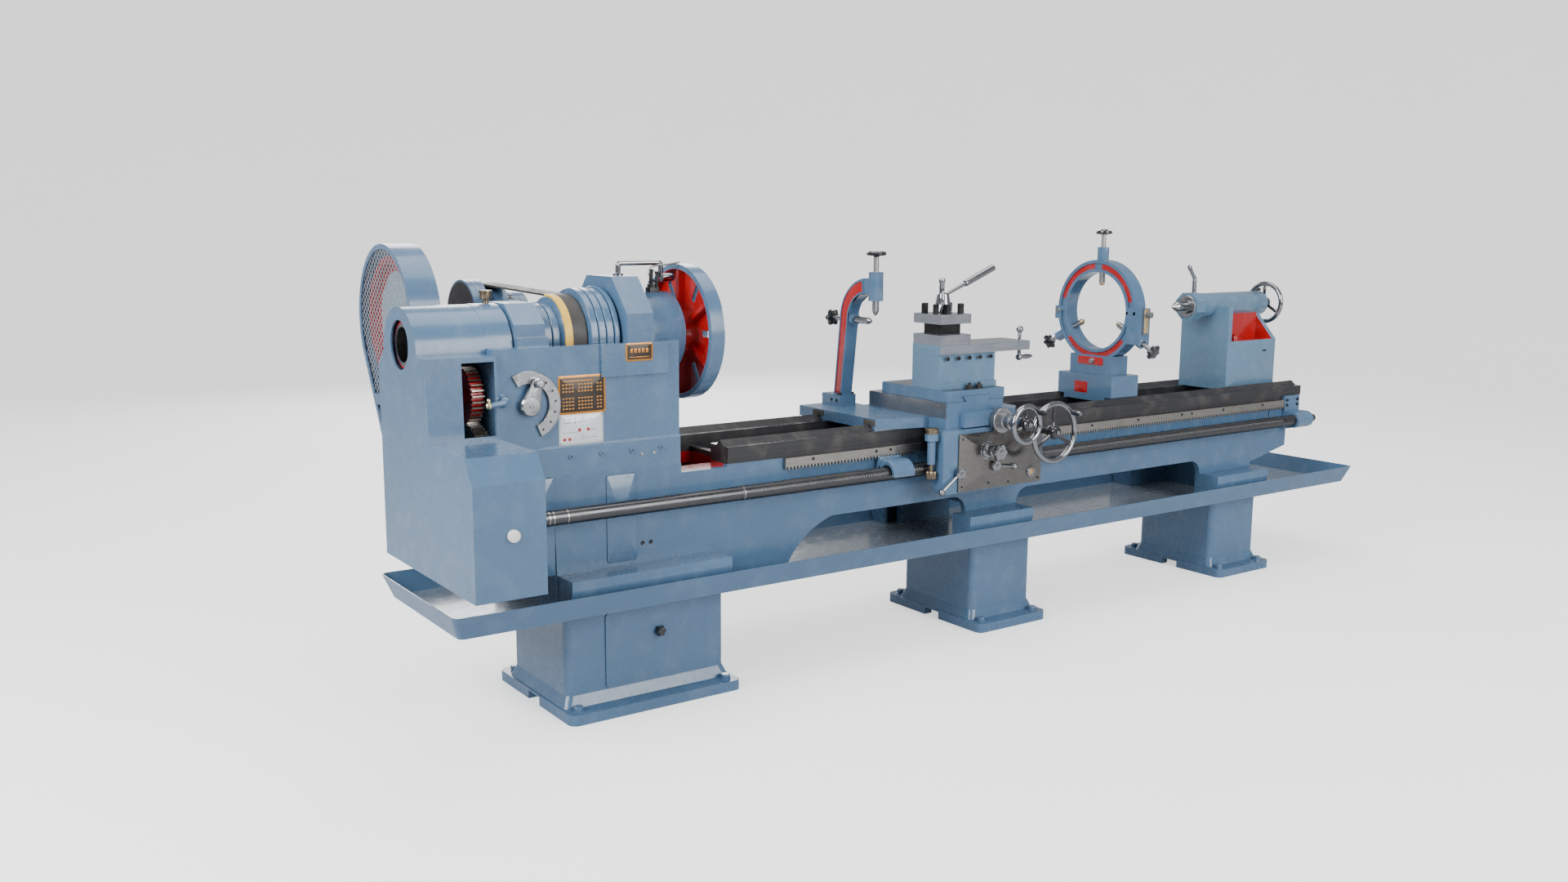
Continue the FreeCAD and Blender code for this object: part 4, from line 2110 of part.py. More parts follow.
def tailstock():
    """Cast the tailstock: block on the ways, column and barrel; then its quill, lock and wheel."""
    left = d.tail_left
    right = left + d.tail_length
    half = d.tail_half_width
    low = d.way_height
    top = d.tail_block_top
    axis = d.axis_height
    barrel = d.barrel_radius
    barrel_end = d.barrel_left + d.barrel_length
    piece = Piece("tailstock_body")
    piece.pad("XY_Plane", [rectangle(left, -half, right, half)], low, top)
    piece.pad("XZ_Plane", [[(left, top), (right, top), (right, axis - barrel),
                            (right, axis), (left, axis)]], -d.tail_column_front, half)
    rib = d.tail_rib
    piece.pad("XZ_Plane", [rectangle(left, top, left + rib, axis)], -half, -d.tail_column_front)
    piece.pad("YZ_Plane", [[(-half, top), (-d.tail_column_front, top), (-d.tail_column_front, axis - barrel)]],
              right - rib, right)
    piece.pad("YZ_Plane", [sided(0, axis, barrel, gear_sides)], d.barrel_left, barrel_end)
    nose = d.barrel_nose_radius
    piece.pad("YZ_Plane", [sided(0, axis, nose, rod_sides)], d.barrel_left,
              d.barrel_left + d.barrel_nose_length)
    recess = d.tail_recess
    piece.pocket("XZ_Plane", [rounded(left + recess, low + recess, right - recess, top - rib, rib)],
                 -half - d.overrun, rib - half)
    quill_end = d.quill_left + d.quill_length + d.overrun
    piece.pocket("YZ_Plane", [disc(0, axis, d.quill_radius + d.bore_gap)],
                 d.barrel_left - d.overrun, quill_end)
    piece.pocket("YZ_Plane", [disc(0, axis, d.wheel_shaft_radius + d.bore_gap)],
                 quill_end - d.overrun, barrel_end + d.overrun)
    lock_top = axis + nose
    piece.pocket("XY_Plane", [disc(d.quill_lock_x, 0, d.quill_lock_radius + d.bore_gap)],
                 axis + d.quill_radius + d.overrun, lock_top + d.overrun)
    quill = Piece("tailstock_quill")
    tip = d.quill_left - d.centre_length
    quill.turned([(0, tip), (d.centre_radius, tip + d.centre_radius * centre_cone_share),
                  (d.centre_radius, d.quill_left), (d.quill_radius, d.quill_left),
                  (d.quill_radius, d.quill_left + d.quill_length),
                  (0, d.quill_left + d.quill_length)])
    quill.place(0, 0, axis, ALONG_X)
    lock = d.quill_lock_radius
    rise = axis + d.quill_lock_rise
    arm = Rotation(Vector(0, 1, 0), -quill_lock_angle)
    swing = math.radians(quill_lock_angle)
    arm_x = d.quill_lock_x - d.quill_lock_arm * round(math.sin(swing), 9)
    arm_z = rise + d.quill_lock_arm * round(math.cos(swing), 9)
    start = axis + d.quill_radius + 2 * d.overrun
    fused("quill_lock_lever", [
        cylinder("lock_post", lock, rise - start, d.quill_lock_x, 0, start),
        bead("lock_bend", lock, d.quill_lock_x, 0, rise),
        bar("lock_arm", lock / 2, d.quill_lock_arm, rod_sides, d.quill_lock_x, 0, rise, arm),
        bead("lock_ball", lock, arm_x, 0, arm_z)])
    wheel = Piece("tailstock_handwheel")
    handwheel(wheel, d.tail_wheel_radius, d.tail_wheel_x - d.wheel_hub_depth / 2,
              quill_end + d.overrun)
    wheel.place(0, 0, axis, ALONG_X)


legs()
door()
chip_tray()
bed()
bed_rack()
lead_screw()
lead_screw_bracket()
headstock()
bearing_caps()
spindle()
cone_pulley()
face_plate()
spindle_belt()
countershaft()
driven_pulley()
countershaft_brackets()
drive_motor()
motor_pulley()
drive_belts()
belt_guard()
end_guard()
change_gears()
headstock_levers()
saddle()
cross_slide()
post_x, post_y, post_low = compound()
tool_post(post_x, post_y, post_low)
compound_crank()
carriage_wheels()
apron()
apron_controls()
follow_rest()
steady_rest()
tailstock()
doc.recompute()

for item in doc.Objects:
    if "Invalid" in item.State or "Error" in item.State:
        raise RuntimeError("{}: {}".format(item.Name, item.State))
os.makedirs("parts", exist_ok=True)
for name, item in NODES.items():
    shape = item.Shape
    if shape.isNull() or not shape.isValid() or shape.Volume <= 0:
        raise RuntimeError(name + " has no sound shape")
for name, item in NODES.items():
    item.Shape.exportStep("parts/{}.step".format(name))
print("{} nodes written".format(len(NODES)))
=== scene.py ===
"""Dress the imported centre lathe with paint, bright metal and small parts."""
import math

import bmesh
import bpy
import numpy as np
from bpy.props import FloatProperty, FloatVectorProperty, PointerProperty
from mathutils import Matrix


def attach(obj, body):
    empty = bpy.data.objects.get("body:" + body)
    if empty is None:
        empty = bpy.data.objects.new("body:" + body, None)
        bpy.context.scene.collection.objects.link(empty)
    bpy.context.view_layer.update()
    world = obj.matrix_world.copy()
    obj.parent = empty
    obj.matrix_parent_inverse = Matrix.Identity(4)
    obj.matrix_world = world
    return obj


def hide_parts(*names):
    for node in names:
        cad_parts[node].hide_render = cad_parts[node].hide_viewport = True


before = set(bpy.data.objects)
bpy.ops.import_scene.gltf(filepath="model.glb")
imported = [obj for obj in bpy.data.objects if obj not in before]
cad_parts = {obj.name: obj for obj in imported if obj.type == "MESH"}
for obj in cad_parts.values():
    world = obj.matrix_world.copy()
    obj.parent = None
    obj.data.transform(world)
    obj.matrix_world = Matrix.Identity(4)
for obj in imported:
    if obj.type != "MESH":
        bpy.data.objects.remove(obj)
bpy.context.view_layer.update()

bl_info = {
    "name": "Centre lathe finishes",
    "version": (1, 0, 0),
    "blender": (4, 5, 0),
    "location": "View3D > Sidebar > Lathe",
    "description": "Dresses the packed lathe with paint, bright metal and small parts",
    "category": "Object",
}

# Places in millimetres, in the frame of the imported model
MM = 0.001
AXIS = 1120.0             # height of the spindle's axis
WALL = -180.0             # front of the headstock
BED = -190.0              # front of the bed
APRON = -330.4            # just proud of the apron's steel plate
SCREW = (0, -245, 630)    # axis of the lead screw
COUNTER = (0, 520, 1146)  # axis of the countershaft
MOTOR = (0, 500, 806)     # axis of the motor

# Axes for a surface drawn about its own Z, so that Z comes to look this way
FRONT = ((1, 0, 0), (0, 0, 1), (0, -1, 0))
BACK = ((-1, 0, 0), (0, 0, 1), (0, 1, 0))
LEFT = ((0, -1, 0), (0, 0, 1), (-1, 0, 0))
RIGHT = ((0, 1, 0), (0, 0, 1), (1, 0, 0))
TOP = ((1, 0, 0), (0, 1, 0), (0, 0, 1))


# Sizes and colours that a user would change

def tint(label, words, value):
    return FloatVectorProperty(name=label, description=words, default=value, size=3,
                               subtype="COLOR", min=0.0, max=1.0)


def length(label, words, value):
    return FloatProperty(name=label, description=words, default=value, unit="LENGTH", min=0.0)


class LathePaints(bpy.types.PropertyGroup):
    """Colours of the paints, metals and plates"""
    blue: tint("Blue grey", "Enamel on the castings and sheets", (0.068, 0.138, 0.240))
    pale: tint("Pale blue", "Enamel on the compound and the tailstock", (0.105, 0.195, 0.295))
    red: tint("Red", "Enamel in the recesses, on pulleys and on gears", (0.40, 0.005, 0.005))
    bright: tint("Bright steel", "Milled and turned steel", (0.40, 0.40, 0.41))
    dark: tint("Dark steel", "Ground ways and oiled steel", (0.010, 0.010, 0.012))
    chrome: tint("Chrome", "Plated levers and rims", (0.30, 0.305, 0.32))
    black: tint("Black", "Knobs, spokes and screws", (0.012, 0.012, 0.014))
    amber: tint("Amber", "The two small plates on the headstock", (0.50, 0.20, 0.025))
    yellow: tint("Yellow", "Band on the flat belt", (0.75, 0.46, 0.05))


class LatheSizes(bpy.types.PropertyGroup):
    """Sizes of the small parts that the solids leave out"""
    rack_pitch: length("Rack pitch", "Distance from tooth to tooth of the rack", 0.0137)
    thread_pitch: length("Thread pitch", "Distance from turn to turn of the lead screw", 0.010)
    mesh_cell: length("Mesh cell", "Height of one opening of the belt guard's mesh", 0.024)
    bolt_flats: length("Bolt", "Width across the flats of the common bolt", 0.019)


def paints():
    return bpy.context.scene.lathe_paints


def sizes():
    return bpy.context.scene.lathe_sizes


# Surfaces. Every one is a pair of arrays: points in millimetres and four-sided faces

def grid(points, round_rows=False, round_columns=True):
    """Join a grid of points, rows by columns, into faces; either way may close on itself."""
    points = np.asarray(points, float)
    rows, columns = points.shape[:2]
    index = np.arange(rows * columns).reshape(rows, columns)
    if round_rows:
        index = np.vstack([index, index[:1]])
    if round_columns:
        index = np.hstack([index, index[:, :1]])
    faces = np.stack([index[:-1, :-1], index[:-1, 1:], index[1:, 1:], index[1:, :-1]], -1)
    return points.reshape(-1, 3), faces.reshape(-1, 4)


def together(surfaces):
    """Put several surfaces into one pair of arrays."""
    starts = np.cumsum([0] + [len(points) for points, _ in surfaces[:-1]])
    faces = [faces + start for (_, faces), start in zip(surfaces, starts)]
    return np.vstack([points for points, _ in surfaces]), np.vstack(faces)


def capped(loops):
    """Close a stack of loops with a point at the middle of the first and of the last."""
    loops = np.asarray(loops, float)
    first, last = (np.repeat(loops[end].mean(0)[None, None], loops.shape[1], 1)
                   for end in (0, -1))
    return grid(np.concatenate([first, loops, last]))


def swept(sides):
    """A loop carried along an open path, one row a place, with both ends closed."""
    return together([grid(sides)] + [capped([sides[end]] * 2) for end in (0, -1)])


def circle(count):
    return np.linspace(0, 2 * np.pi, count, endpoint=False)


def round_points(radius, angle, height):
    """Points at (r cos a, r sin a, h)."""
    return np.stack([radius * np.cos(angle), radius * np.sin(angle), height + 0 * angle], -1)


def turned(profile, count=64):
    """Turn a profile of (radius, height) about Z, closed at its two ends on the axis."""
    profile = np.asarray(profile, float)
    return grid(round_points(profile[:, :1], circle(count), profile[:, 1:2]))


def turned_ring(profile, count=96):
    """Turn a closed profile of (radius, height) about Z into a ring."""
    profile = np.asarray(profile, float)
    return grid(round_points(profile[:, :1], circle(count), profile[:, 1:2]), True)


def waved(profile, waves, depth, count=96):
    """Turn a profile whose radius swells by 1 + depth cos(waves a) round the turn."""
    profile = np.asarray(profile, float)
    angle = circle(count)
    swell = 1 + depth * np.cos(waves * angle)
    return grid(round_points(profile[:, :1] * swell, angle, profile[:, 1:2]))


def tube(path, radius, count=16):
    """Carry a circle along a path, square to its run; the radius may change on the way."""
    path = np.asarray(path, float)
    run = np.gradient(path, axis=0)
    run /= np.linalg.norm(run, axis=1, keepdims=True)
    first = np.cross(run, np.eye(3)[np.argmin(np.abs(run).max(0))])
    first /= np.linalg.norm(first, axis=1, keepdims=True)
    second = np.cross(run, first)
    angle = circle(count)[:, None]
    radius = np.broadcast_to(np.asarray(radius, float), (len(run),))[:, None, None]
    return capped(path[:, None] + radius * (first[:, None] * np.cos(angle)
                                            + second[:, None] * np.sin(angle)))


def curved(corners):
    """Points of a smooth curve that repeated cutting of its corners gives."""
    points = np.asarray(corners, float)
    for _ in range(4):
        early = points[:-1] * 0.75 + points[1:] * 0.25
        late = points[:-1] * 0.25 + points[1:] * 0.75
        points = np.vstack([points[:1], np.stack([early, late], 1).reshape(-1, 3), points[-1:]])
    return points


def rounded(half_x, half_y, corner, inset=0.0):
    """Outline of a rectangle about the origin with round corners, drawn in by an inset."""
    corner = max(corner - inset, 0.05)
    x, y = half_x - inset - corner, half_y - inset - corner
    angle = np.linspace(0, np.pi / 2, 6)
    return np.vstack([np.stack([side_x * x + corner * np.cos(angle + start),
                                side_y * y + corner * np.sin(angle + start)], -1)
                      for side_x, side_y, start in ((1, 1, 0), (-1, 1, np.pi / 2),
                                                    (-1, -1, np.pi), (1, -1, 1.5 * np.pi))])


def inset_loop(loop, amount):
    """Draw a closed loop in by an amount along the mean normal of its two sides."""
    loop = np.asarray(loop, float)
    ahead = np.roll(loop, -1, 0) - loop
    ahead /= np.linalg.norm(ahead, axis=1, keepdims=True) + 1e-12
    behind = np.roll(ahead, 1, 0)
    normal = np.stack([-ahead[:, 1] - behind[:, 1], ahead[:, 0] + behind[:, 0]], -1)
    share = 1 + (ahead * behind).sum(1, keepdims=True)
    return loop + amount * normal / np.maximum(share, 0.4)


def slab(loop, low, high, bevel=0.6):
    """Raise a loop from low to high with a bevel round its upper edge."""
    levels = ((0, low), (0, high - bevel), (bevel * 0.3, high - bevel * 0.3), (bevel, high))
    return capped([np.column_stack([inset_loop(loop, amount), np.full(len(loop), level)])
                   for amount, level in levels])


def plate(half_x, half_y, corner, low, high, bevel=0.6):
    """A flat plate about the origin with round corners and a bevelled edge."""
    return slab(rounded(half_x, half_y, corner), low, high, bevel)


def frame_strip(half_x, half_y, corner, width, low, high):
    """A raised frame: a low square section along a rectangle with round corners."""
    rows = [(0, low), (0, high - 0.3), (0.3, high), (width - 0.3, high), (width, high - 0.3),
            (width, low)]
    return grid([np.column_stack([rounded(half_x, half_y, corner, amount), np.full(24, level)])
                 for amount, level in rows], True)


def hexagon(flats, count=48):
    """Evenly spaced angles and the radius of a hexagon at each."""
    angle = circle(count)
    return angle, flats / 2 / np.cos((angle + np.pi / 6) % (np.pi / 3) - np.pi / 6)


def hex_head(flats, height, washer=True):
    """A hexagon bolt head: six flats under a turned chamfer, with a thin washer below."""
    angle, outer = hexagon(flats)
    rows = [(outer, 1.5), (outer, height * 0.75), (np.minimum(outer, flats * 0.53), height * 0.9),
            (np.minimum(outer, flats * 0.47), height)]
    parts = [capped([round_points(radius, angle, level) for radius, level in rows])]
    if washer:
        parts.append(turned([(0, 0), (flats * 0.68, 0), (flats * 0.68, 1.2), (flats * 0.64, 1.6),
                             (0, 1.6)], 32))
    return together(parts)


def cap_screw(radius, height):
    """A cap screw: a turned head with a six-sided socket sunk in its top."""
    angle, hollow = hexagon(radius * 0.95)
    rows = [(radius, 0), (radius, height * 0.8), (radius * 0.93, height), (hollow, height),
            (hollow, height * 0.35)]
    return capped([round_points(size, angle, level) for size, level in rows])


def dome(radius, height):
    """A round rivet head, a quarter ellipse turned about its axis."""
    angle = np.linspace(0, np.pi / 2, 7)
    rows = np.column_stack([radius * np.cos(angle), height * np.sin(angle)])
    return turned(rows.tolist() + [(0, height)], 20)


def ball(radius, centre=(0, 0, 0)):
    """A ball: latitude by longitude."""
    angle = np.linspace(-np.pi / 2, np.pi / 2, 17)
    points, faces = turned(np.column_stack([radius * np.cos(angle), radius * np.sin(angle)]), 32)
    return points + np.asarray(centre, float), faces


def star(radius, depth, start):
    """A moulded knob with six lobes, from start upwards."""
    shares = ((0, 0), (0.55, 0), (0.84, 0.2), (0.87, 0.6), (0.7, 0.92), (0.3, 1), (0, 1))
    return waved([(radius * out, start + depth * up) for out, up in shares], 6, 0.14)


def at(surface, place, facing=TOP, turn=0.0):
    """Turn a surface about its own Z, then lay it at a place, facing one way."""
    points, faces = surface
    cos, sin = math.cos(math.radians(turn)), math.sin(math.radians(turn))
    spin = np.array([[cos, sin, 0], [-sin, cos, 0], [0, 0, 1]])
    return points @ spin @ np.asarray(facing, float) + np.asarray(place, float), faces


def spun(profile, place, facing=TOP, count=32):
    return at(turned(profile, count), place, facing)


def banded(profile, place, facing=RIGHT, count=96):
    return at(turned_ring(profile, count), place, facing)


def leaning(angle):
    """Axes whose Z points out from the spindle axis at an angle from the back."""
    lean = math.radians(angle)
    return ((1, 0, 0), (0, -math.sin(lean), math.cos(lean)), (0, math.cos(lean), math.sin(lean)))


def arc(profile, low, high, steps, centre=(0, 0, AXIS)):
    """Carry a profile of (radius, x) along an arc about an axis along X, ends closed."""
    turn = np.radians(np.linspace(low, high, steps))
    return swept(np.stack([np.stack([0 * turn + x, centre[1] + radius * np.cos(turn),
                                     centre[2] + radius * np.sin(turn)], -1)
                           for radius, x in profile], 1))


def piece(name, body, look, *surfaces, slot=None, stands_for=None, sharp=32.0):
    """Make one object from surfaces, closed and facing out, and let it ride on a body."""
    points, faces = together(surfaces)
    mesh = bpy.data.meshes.new(name)
    mesh.from_pydata((points * MM).tolist(), [], faces.tolist())
    form = bmesh.new()
    form.from_mesh(mesh)
    bmesh.ops.remove_doubles(form, verts=form.verts, dist=2e-6)
    bmesh.ops.recalc_face_normals(form, faces=form.faces)
    form.to_mesh(mesh)
    form.free()
    mesh.shade_smooth()
    mesh.set_sharp_from_angle(angle=math.radians(sharp))
    mesh.materials.append(material(look))
    item = bpy.data.objects.new(name, mesh)
    bpy.context.scene.collection.objects.link(item)
    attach(item, body)
    if stands_for:
        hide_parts(stands_for)




# Shader groups

def add(tree, kind, inputs=None, out=0, **settings):
    """Add a node, set or join its inputs, and return one of its outputs."""
    node = tree.nodes.new("ShaderNode" + kind)
    for name, value in settings.items():
        setattr(node, name, value)
    for name, value in (inputs or {}).items():
        if isinstance(value, bpy.types.NodeSocket):
            tree.links.new(value, node.inputs[name])
        else:
            node.inputs[name].default_value = value
    return node.outputs[out]


def blend(tree, share, first, second):
    """Mix two colours by a share."""
    return add(tree, "Mix", {0: share, 6: first, 7: second}, 2, data_type="RGBA")


def between(tree, share, first, second):
    """Mix two numbers by a share."""
    return add(tree, "Mix", {0: share, 2: first, 3: second}, 0, data_type="FLOAT")


def maths(tree, kind, first, second=0.0):
    return add(tree, "Math", {0: first, 1: second}, operation=kind)


def vector(tree, kind, first, second=(0, 0, 0), out=0):
    return add(tree, "VectorMath", {0: first, 1: second}, out, operation=kind)


def place_of(tree):
    return add(tree, "TexCoord", out="Object")


def span(tree, value, low, high, start=0.0, end=1.0):
    """Stretch a value from low..high to start..end, held at the ends."""
    return add(tree, "MapRange", {"Value": value, "From Min": low, "From Max": high,
                                  "To Min": start, "To Max": end})


def noise(tree, place, scale, detail=2.0, rough=0.5):
    return add(tree, "TexNoise", {"Vector": place, "Scale": scale, "Detail": detail,
                                  "Roughness": rough})


def group_of(name, inputs, build):
    """Make a shader group from its named inputs and a function that gives its outputs."""
    group = bpy.data.node_groups.new(name, "ShaderNodeTree")
    for label, value in inputs.items():
        kind = "Float" if isinstance(value, float) else "Color" if len(value) == 4 else "Vector"
        socket = group.interface.new_socket(name=label, in_out="INPUT",
                                            socket_type="NodeSocket" + kind)
        socket.default_value = value
    start = group.nodes.new("NodeGroupInput").outputs
    results = build(group, start)
    for label in results:
        group.interface.new_socket(name=label, in_out="OUTPUT", socket_type="NodeSocket"
                                   + ("Color" if label == "Colour" else "Float"))
    end = group.nodes.new("NodeGroupOutput").inputs
    for label, value in results.items():
        group.links.new(value, end[label])
    return group


def enamel_group(tree, start):
    """Brushed enamel on filled castings: slow waves, orange peel, faint patches and grime."""
    place = place_of(tree)
    patches = noise(tree, place, 3.1, 3.0)
    waves = noise(tree, place, 17.0, 2.0, 0.4)
    peel = noise(tree, place, 310.0, 2.0)
    specks = noise(tree, place, 46.0, 7.0, 0.72)
    deep = blend(tree, span(tree, patches, 0.35, 0.68, 0.0, 0.14), start["Colour"],
                 (0.03, 0.045, 0.06, 1))
    pale = blend(tree, span(tree, waves, 0.5, 0.8, 0.0, 0.04), deep, (0.75, 0.8, 0.85, 1))
    dirt = maths(tree, "MULTIPLY", span(tree, specks, 0.60, 0.72), start["Grime"])
    rough = maths(tree, "ADD", start["Gloss"], span(tree, specks, 0.3, 0.7, -0.05, 0.11))
    high = maths(tree, "MULTIPLY", waves, start["Waves"])
    return {"Colour": blend(tree, dirt, pale, (0.035, 0.03, 0.026, 1)),
            "Roughness": maths(tree, "ADD", rough, maths(tree, "MULTIPLY", dirt, 0.3)),
            "Height": maths(tree, "ADD", high, maths(tree, "MULTIPLY", peel, 0.035))}


def cut_group(tree, start):
    """Milled or ground steel: noise stretched along the cut, with oily clouds."""
    place = place_of(tree)
    lines = noise(tree, vector(tree, "MULTIPLY", place, start["Stretch"]), 1.0, 3.0, 0.6)
    cloud = noise(tree, place, 11.0, 4.0, 0.6)
    shade = maths(tree, "MULTIPLY", span(tree, lines, 0.35, 0.65, 0.0, 0.45), start["Lines"])
    toned = blend(tree, shade, start["Colour"], (0.06, 0.06, 0.065, 1))
    return {"Colour": blend(tree, span(tree, cloud, 0.52, 0.75, 0.0, 0.4), toned,
                            (0.12, 0.105, 0.09, 1)),
            "Roughness": maths(tree, "ADD", start["Gloss"],
                               span(tree, cloud, 0.3, 0.7, -0.06, 0.14)),
            "Height": maths(tree, "MULTIPLY", lines, start["Lines"])}


def turned_group(tree, start):
    """Turned steel: rings that depend on the distance along and from an axis along X."""
    place = place_of(tree)
    near = vector(tree, "SUBTRACT", place, start["Centre"])
    parts = add(tree, "SeparateXYZ", {0: near}).node.outputs
    square = maths(tree, "ADD", maths(tree, "MULTIPLY", parts["Y"], parts["Y"]),
                   maths(tree, "MULTIPLY", parts["Z"], parts["Z"]))
    radius = maths(tree, "SQRT", square)
    line = add(tree, "CombineXYZ", {"X": maths(tree, "MULTIPLY", parts["X"], start["Rings"]),
                                    "Y": maths(tree, "MULTIPLY", radius, start["Rings"])})
    rings = noise(tree, line, 1.0, 2.0)
    cloud = noise(tree, place, 14.0, 4.0, 0.6)
    toned = blend(tree, span(tree, rings, 0.35, 0.7, 0.0, 0.35), start["Colour"],
                  (0.08, 0.08, 0.085, 1))
    return {"Colour": blend(tree, span(tree, cloud, 0.5, 0.8, 0.0, 0.35), toned,
                            (0.14, 0.12, 0.10, 1)),
            "Roughness": maths(tree, "ADD", start["Gloss"],
                               span(tree, cloud, 0.3, 0.7, -0.05, 0.14)), "Height": rings}


def plain_group(tree, start):
    """Plated, moulded or rubbed surfaces: fine grain with fingermarks."""
    place = place_of(tree)
    grain = noise(tree, place, start["Grain"], 2.0)
    cloud = noise(tree, place, 24.0, 5.0, 0.62)
    mark = maths(tree, "MULTIPLY", span(tree, cloud, 0.45, 0.75), start["Marks"])
    return {"Colour": blend(tree, mark, start["Colour"], (0.10, 0.095, 0.09, 1)),
            "Roughness": maths(tree, "ADD", start["Gloss"], maths(tree, "MULTIPLY", mark, 0.9)),
            "Height": grain}


def box_group(tree, start):
    """Mask of the points between a low and a high corner."""
    place = place_of(tree)
    mask = 1.0
    for first, second in ((place, start["Low"]), (start["High"], place)):
        room = vector(tree, "SUBTRACT", first, second)
        parts = add(tree, "SeparateXYZ", {0: room}).node.outputs
        for side in "XYZ":
            mask = maths(tree, "MULTIPLY", mask, maths(tree, "GREATER_THAN", parts[side]))
    return {"Mask": mask}


def facing_group(tree, start):
    """Mask of the faces that look along a direction."""
    look = vector(tree, "DOT_PRODUCT", add(tree, "TexCoord", out="Normal"), start["Direction"],
                  "Value")
    return {"Mask": maths(tree, "GREATER_THAN", look, start["Least"])}


def reach_group(tree, start):
    """Mask of the points nearer than a reach to an axis along X."""
    near = vector(tree, "SUBTRACT", place_of(tree), start["Centre"])
    reach = vector(tree, "LENGTH", vector(tree, "MULTIPLY", near, (0, 1, 1)), out="Value")
    return {"Mask": maths(tree, "LESS_THAN", reach, start["Reach"])}


GREY = (0.5, 0.5, 0.5, 1)
GROUPS = {
    "enamel": ("Hand enamel", enamel_group,
               {"Colour": GREY, "Waves": 0.5, "Grime": 0.2, "Gloss": 0.3}),
    "cut": ("Cut steel", cut_group,
            {"Colour": GREY, "Stretch": (3, 260, 260), "Lines": 0.4, "Gloss": 0.25}),
    "turned": ("Turned steel", turned_group,
               {"Colour": GREY, "Centre": (0, 0, 0), "Rings": 700.0, "Gloss": 0.22}),
    "plain": ("Fine grain", plain_group,
              {"Colour": GREY, "Grain": 300.0, "Marks": 0.2, "Gloss": 0.2}),
    "box": ("Inside a box", box_group, {"Low": (0, 0, 0), "High": (1, 1, 1)}),
    "facing": ("Facing", facing_group, {"Direction": (0, 0, 1), "Least": 0.8}),
    "reach": ("Near an axis", reach_group, {"Centre": (0, 0, 0), "Reach": 0.1}),
}


def group_node(tree, kind, **inputs):
    """Place a shader group in a tree and return its outputs."""
    name, build, defaults = GROUPS[kind]
    node = tree.nodes.new("ShaderNodeGroup")
    node.node_tree = bpy.data.node_groups.get(name) or group_of(name, defaults, build)
    for label, value in inputs.items():
        node.inputs[label.capitalize()].default_value = value
    return node.outputs


# Masks and finishes

def metres(place):
    return [value * MM for value in place]


def box(low, high):
    """A mask of the room between two corners in millimetres."""
    return lambda tree: group_node(tree, "box", low=metres(low), high=metres(high))["Mask"]


def facing(direction):
    return lambda tree: group_node(tree, "facing", direction=direction)["Mask"]


def nearer(centre, reach):
    return lambda tree: group_node(tree, "reach", centre=metres(centre), reach=reach * MM)["Mask"]


def both(first, second):
    """A mask where two masks hold."""
    return lambda tree: maths(tree, "MULTIPLY", first(tree), second(tree))


def layer(kind, metallic, mask, colour, **values):
    """One coat of a finish: a shader group, its values and the place where it shows."""
    return kind, metallic, mask, {"colour": (*colour, 1.0), **values}


def blue(mask=None, colour=None, waves=0.35, grime=0.10, gloss=0.24):
    return layer("enamel", 0.0, mask, colour or paints().blue, waves=waves, grime=grime,
                 gloss=gloss)


def red(mask=None, waves=1.6):
    return layer("enamel", 0.0, mask, paints().red, waves=waves, grime=0.12, gloss=0.16)


def ground(mask, gloss=0.2):
    """Dark ground steel of the ways, cut along the bed."""
    return layer("cut", 0.1, mask, paints().dark, stretch=(4, 420, 420), lines=0.6, gloss=gloss)


def milled(mask=None, colour=None, gloss=0.24, stretch=(9, 300, 300), lines=0.5):
    return layer("cut", 1.0, mask, colour or paints().bright, stretch=stretch, lines=lines,
                 gloss=gloss)


def ringed(centre, rings=700.0, gloss=0.22, colour=None, mask=None):
    return layer("turned", 1.0, mask, colour or paints().bright, centre=metres(centre),
                 rings=rings, gloss=gloss)


def plain(metallic, colour, grain, marks, gloss, mask=None):
    return layer("plain", metallic, mask, colour, grain=grain, marks=marks, gloss=gloss)


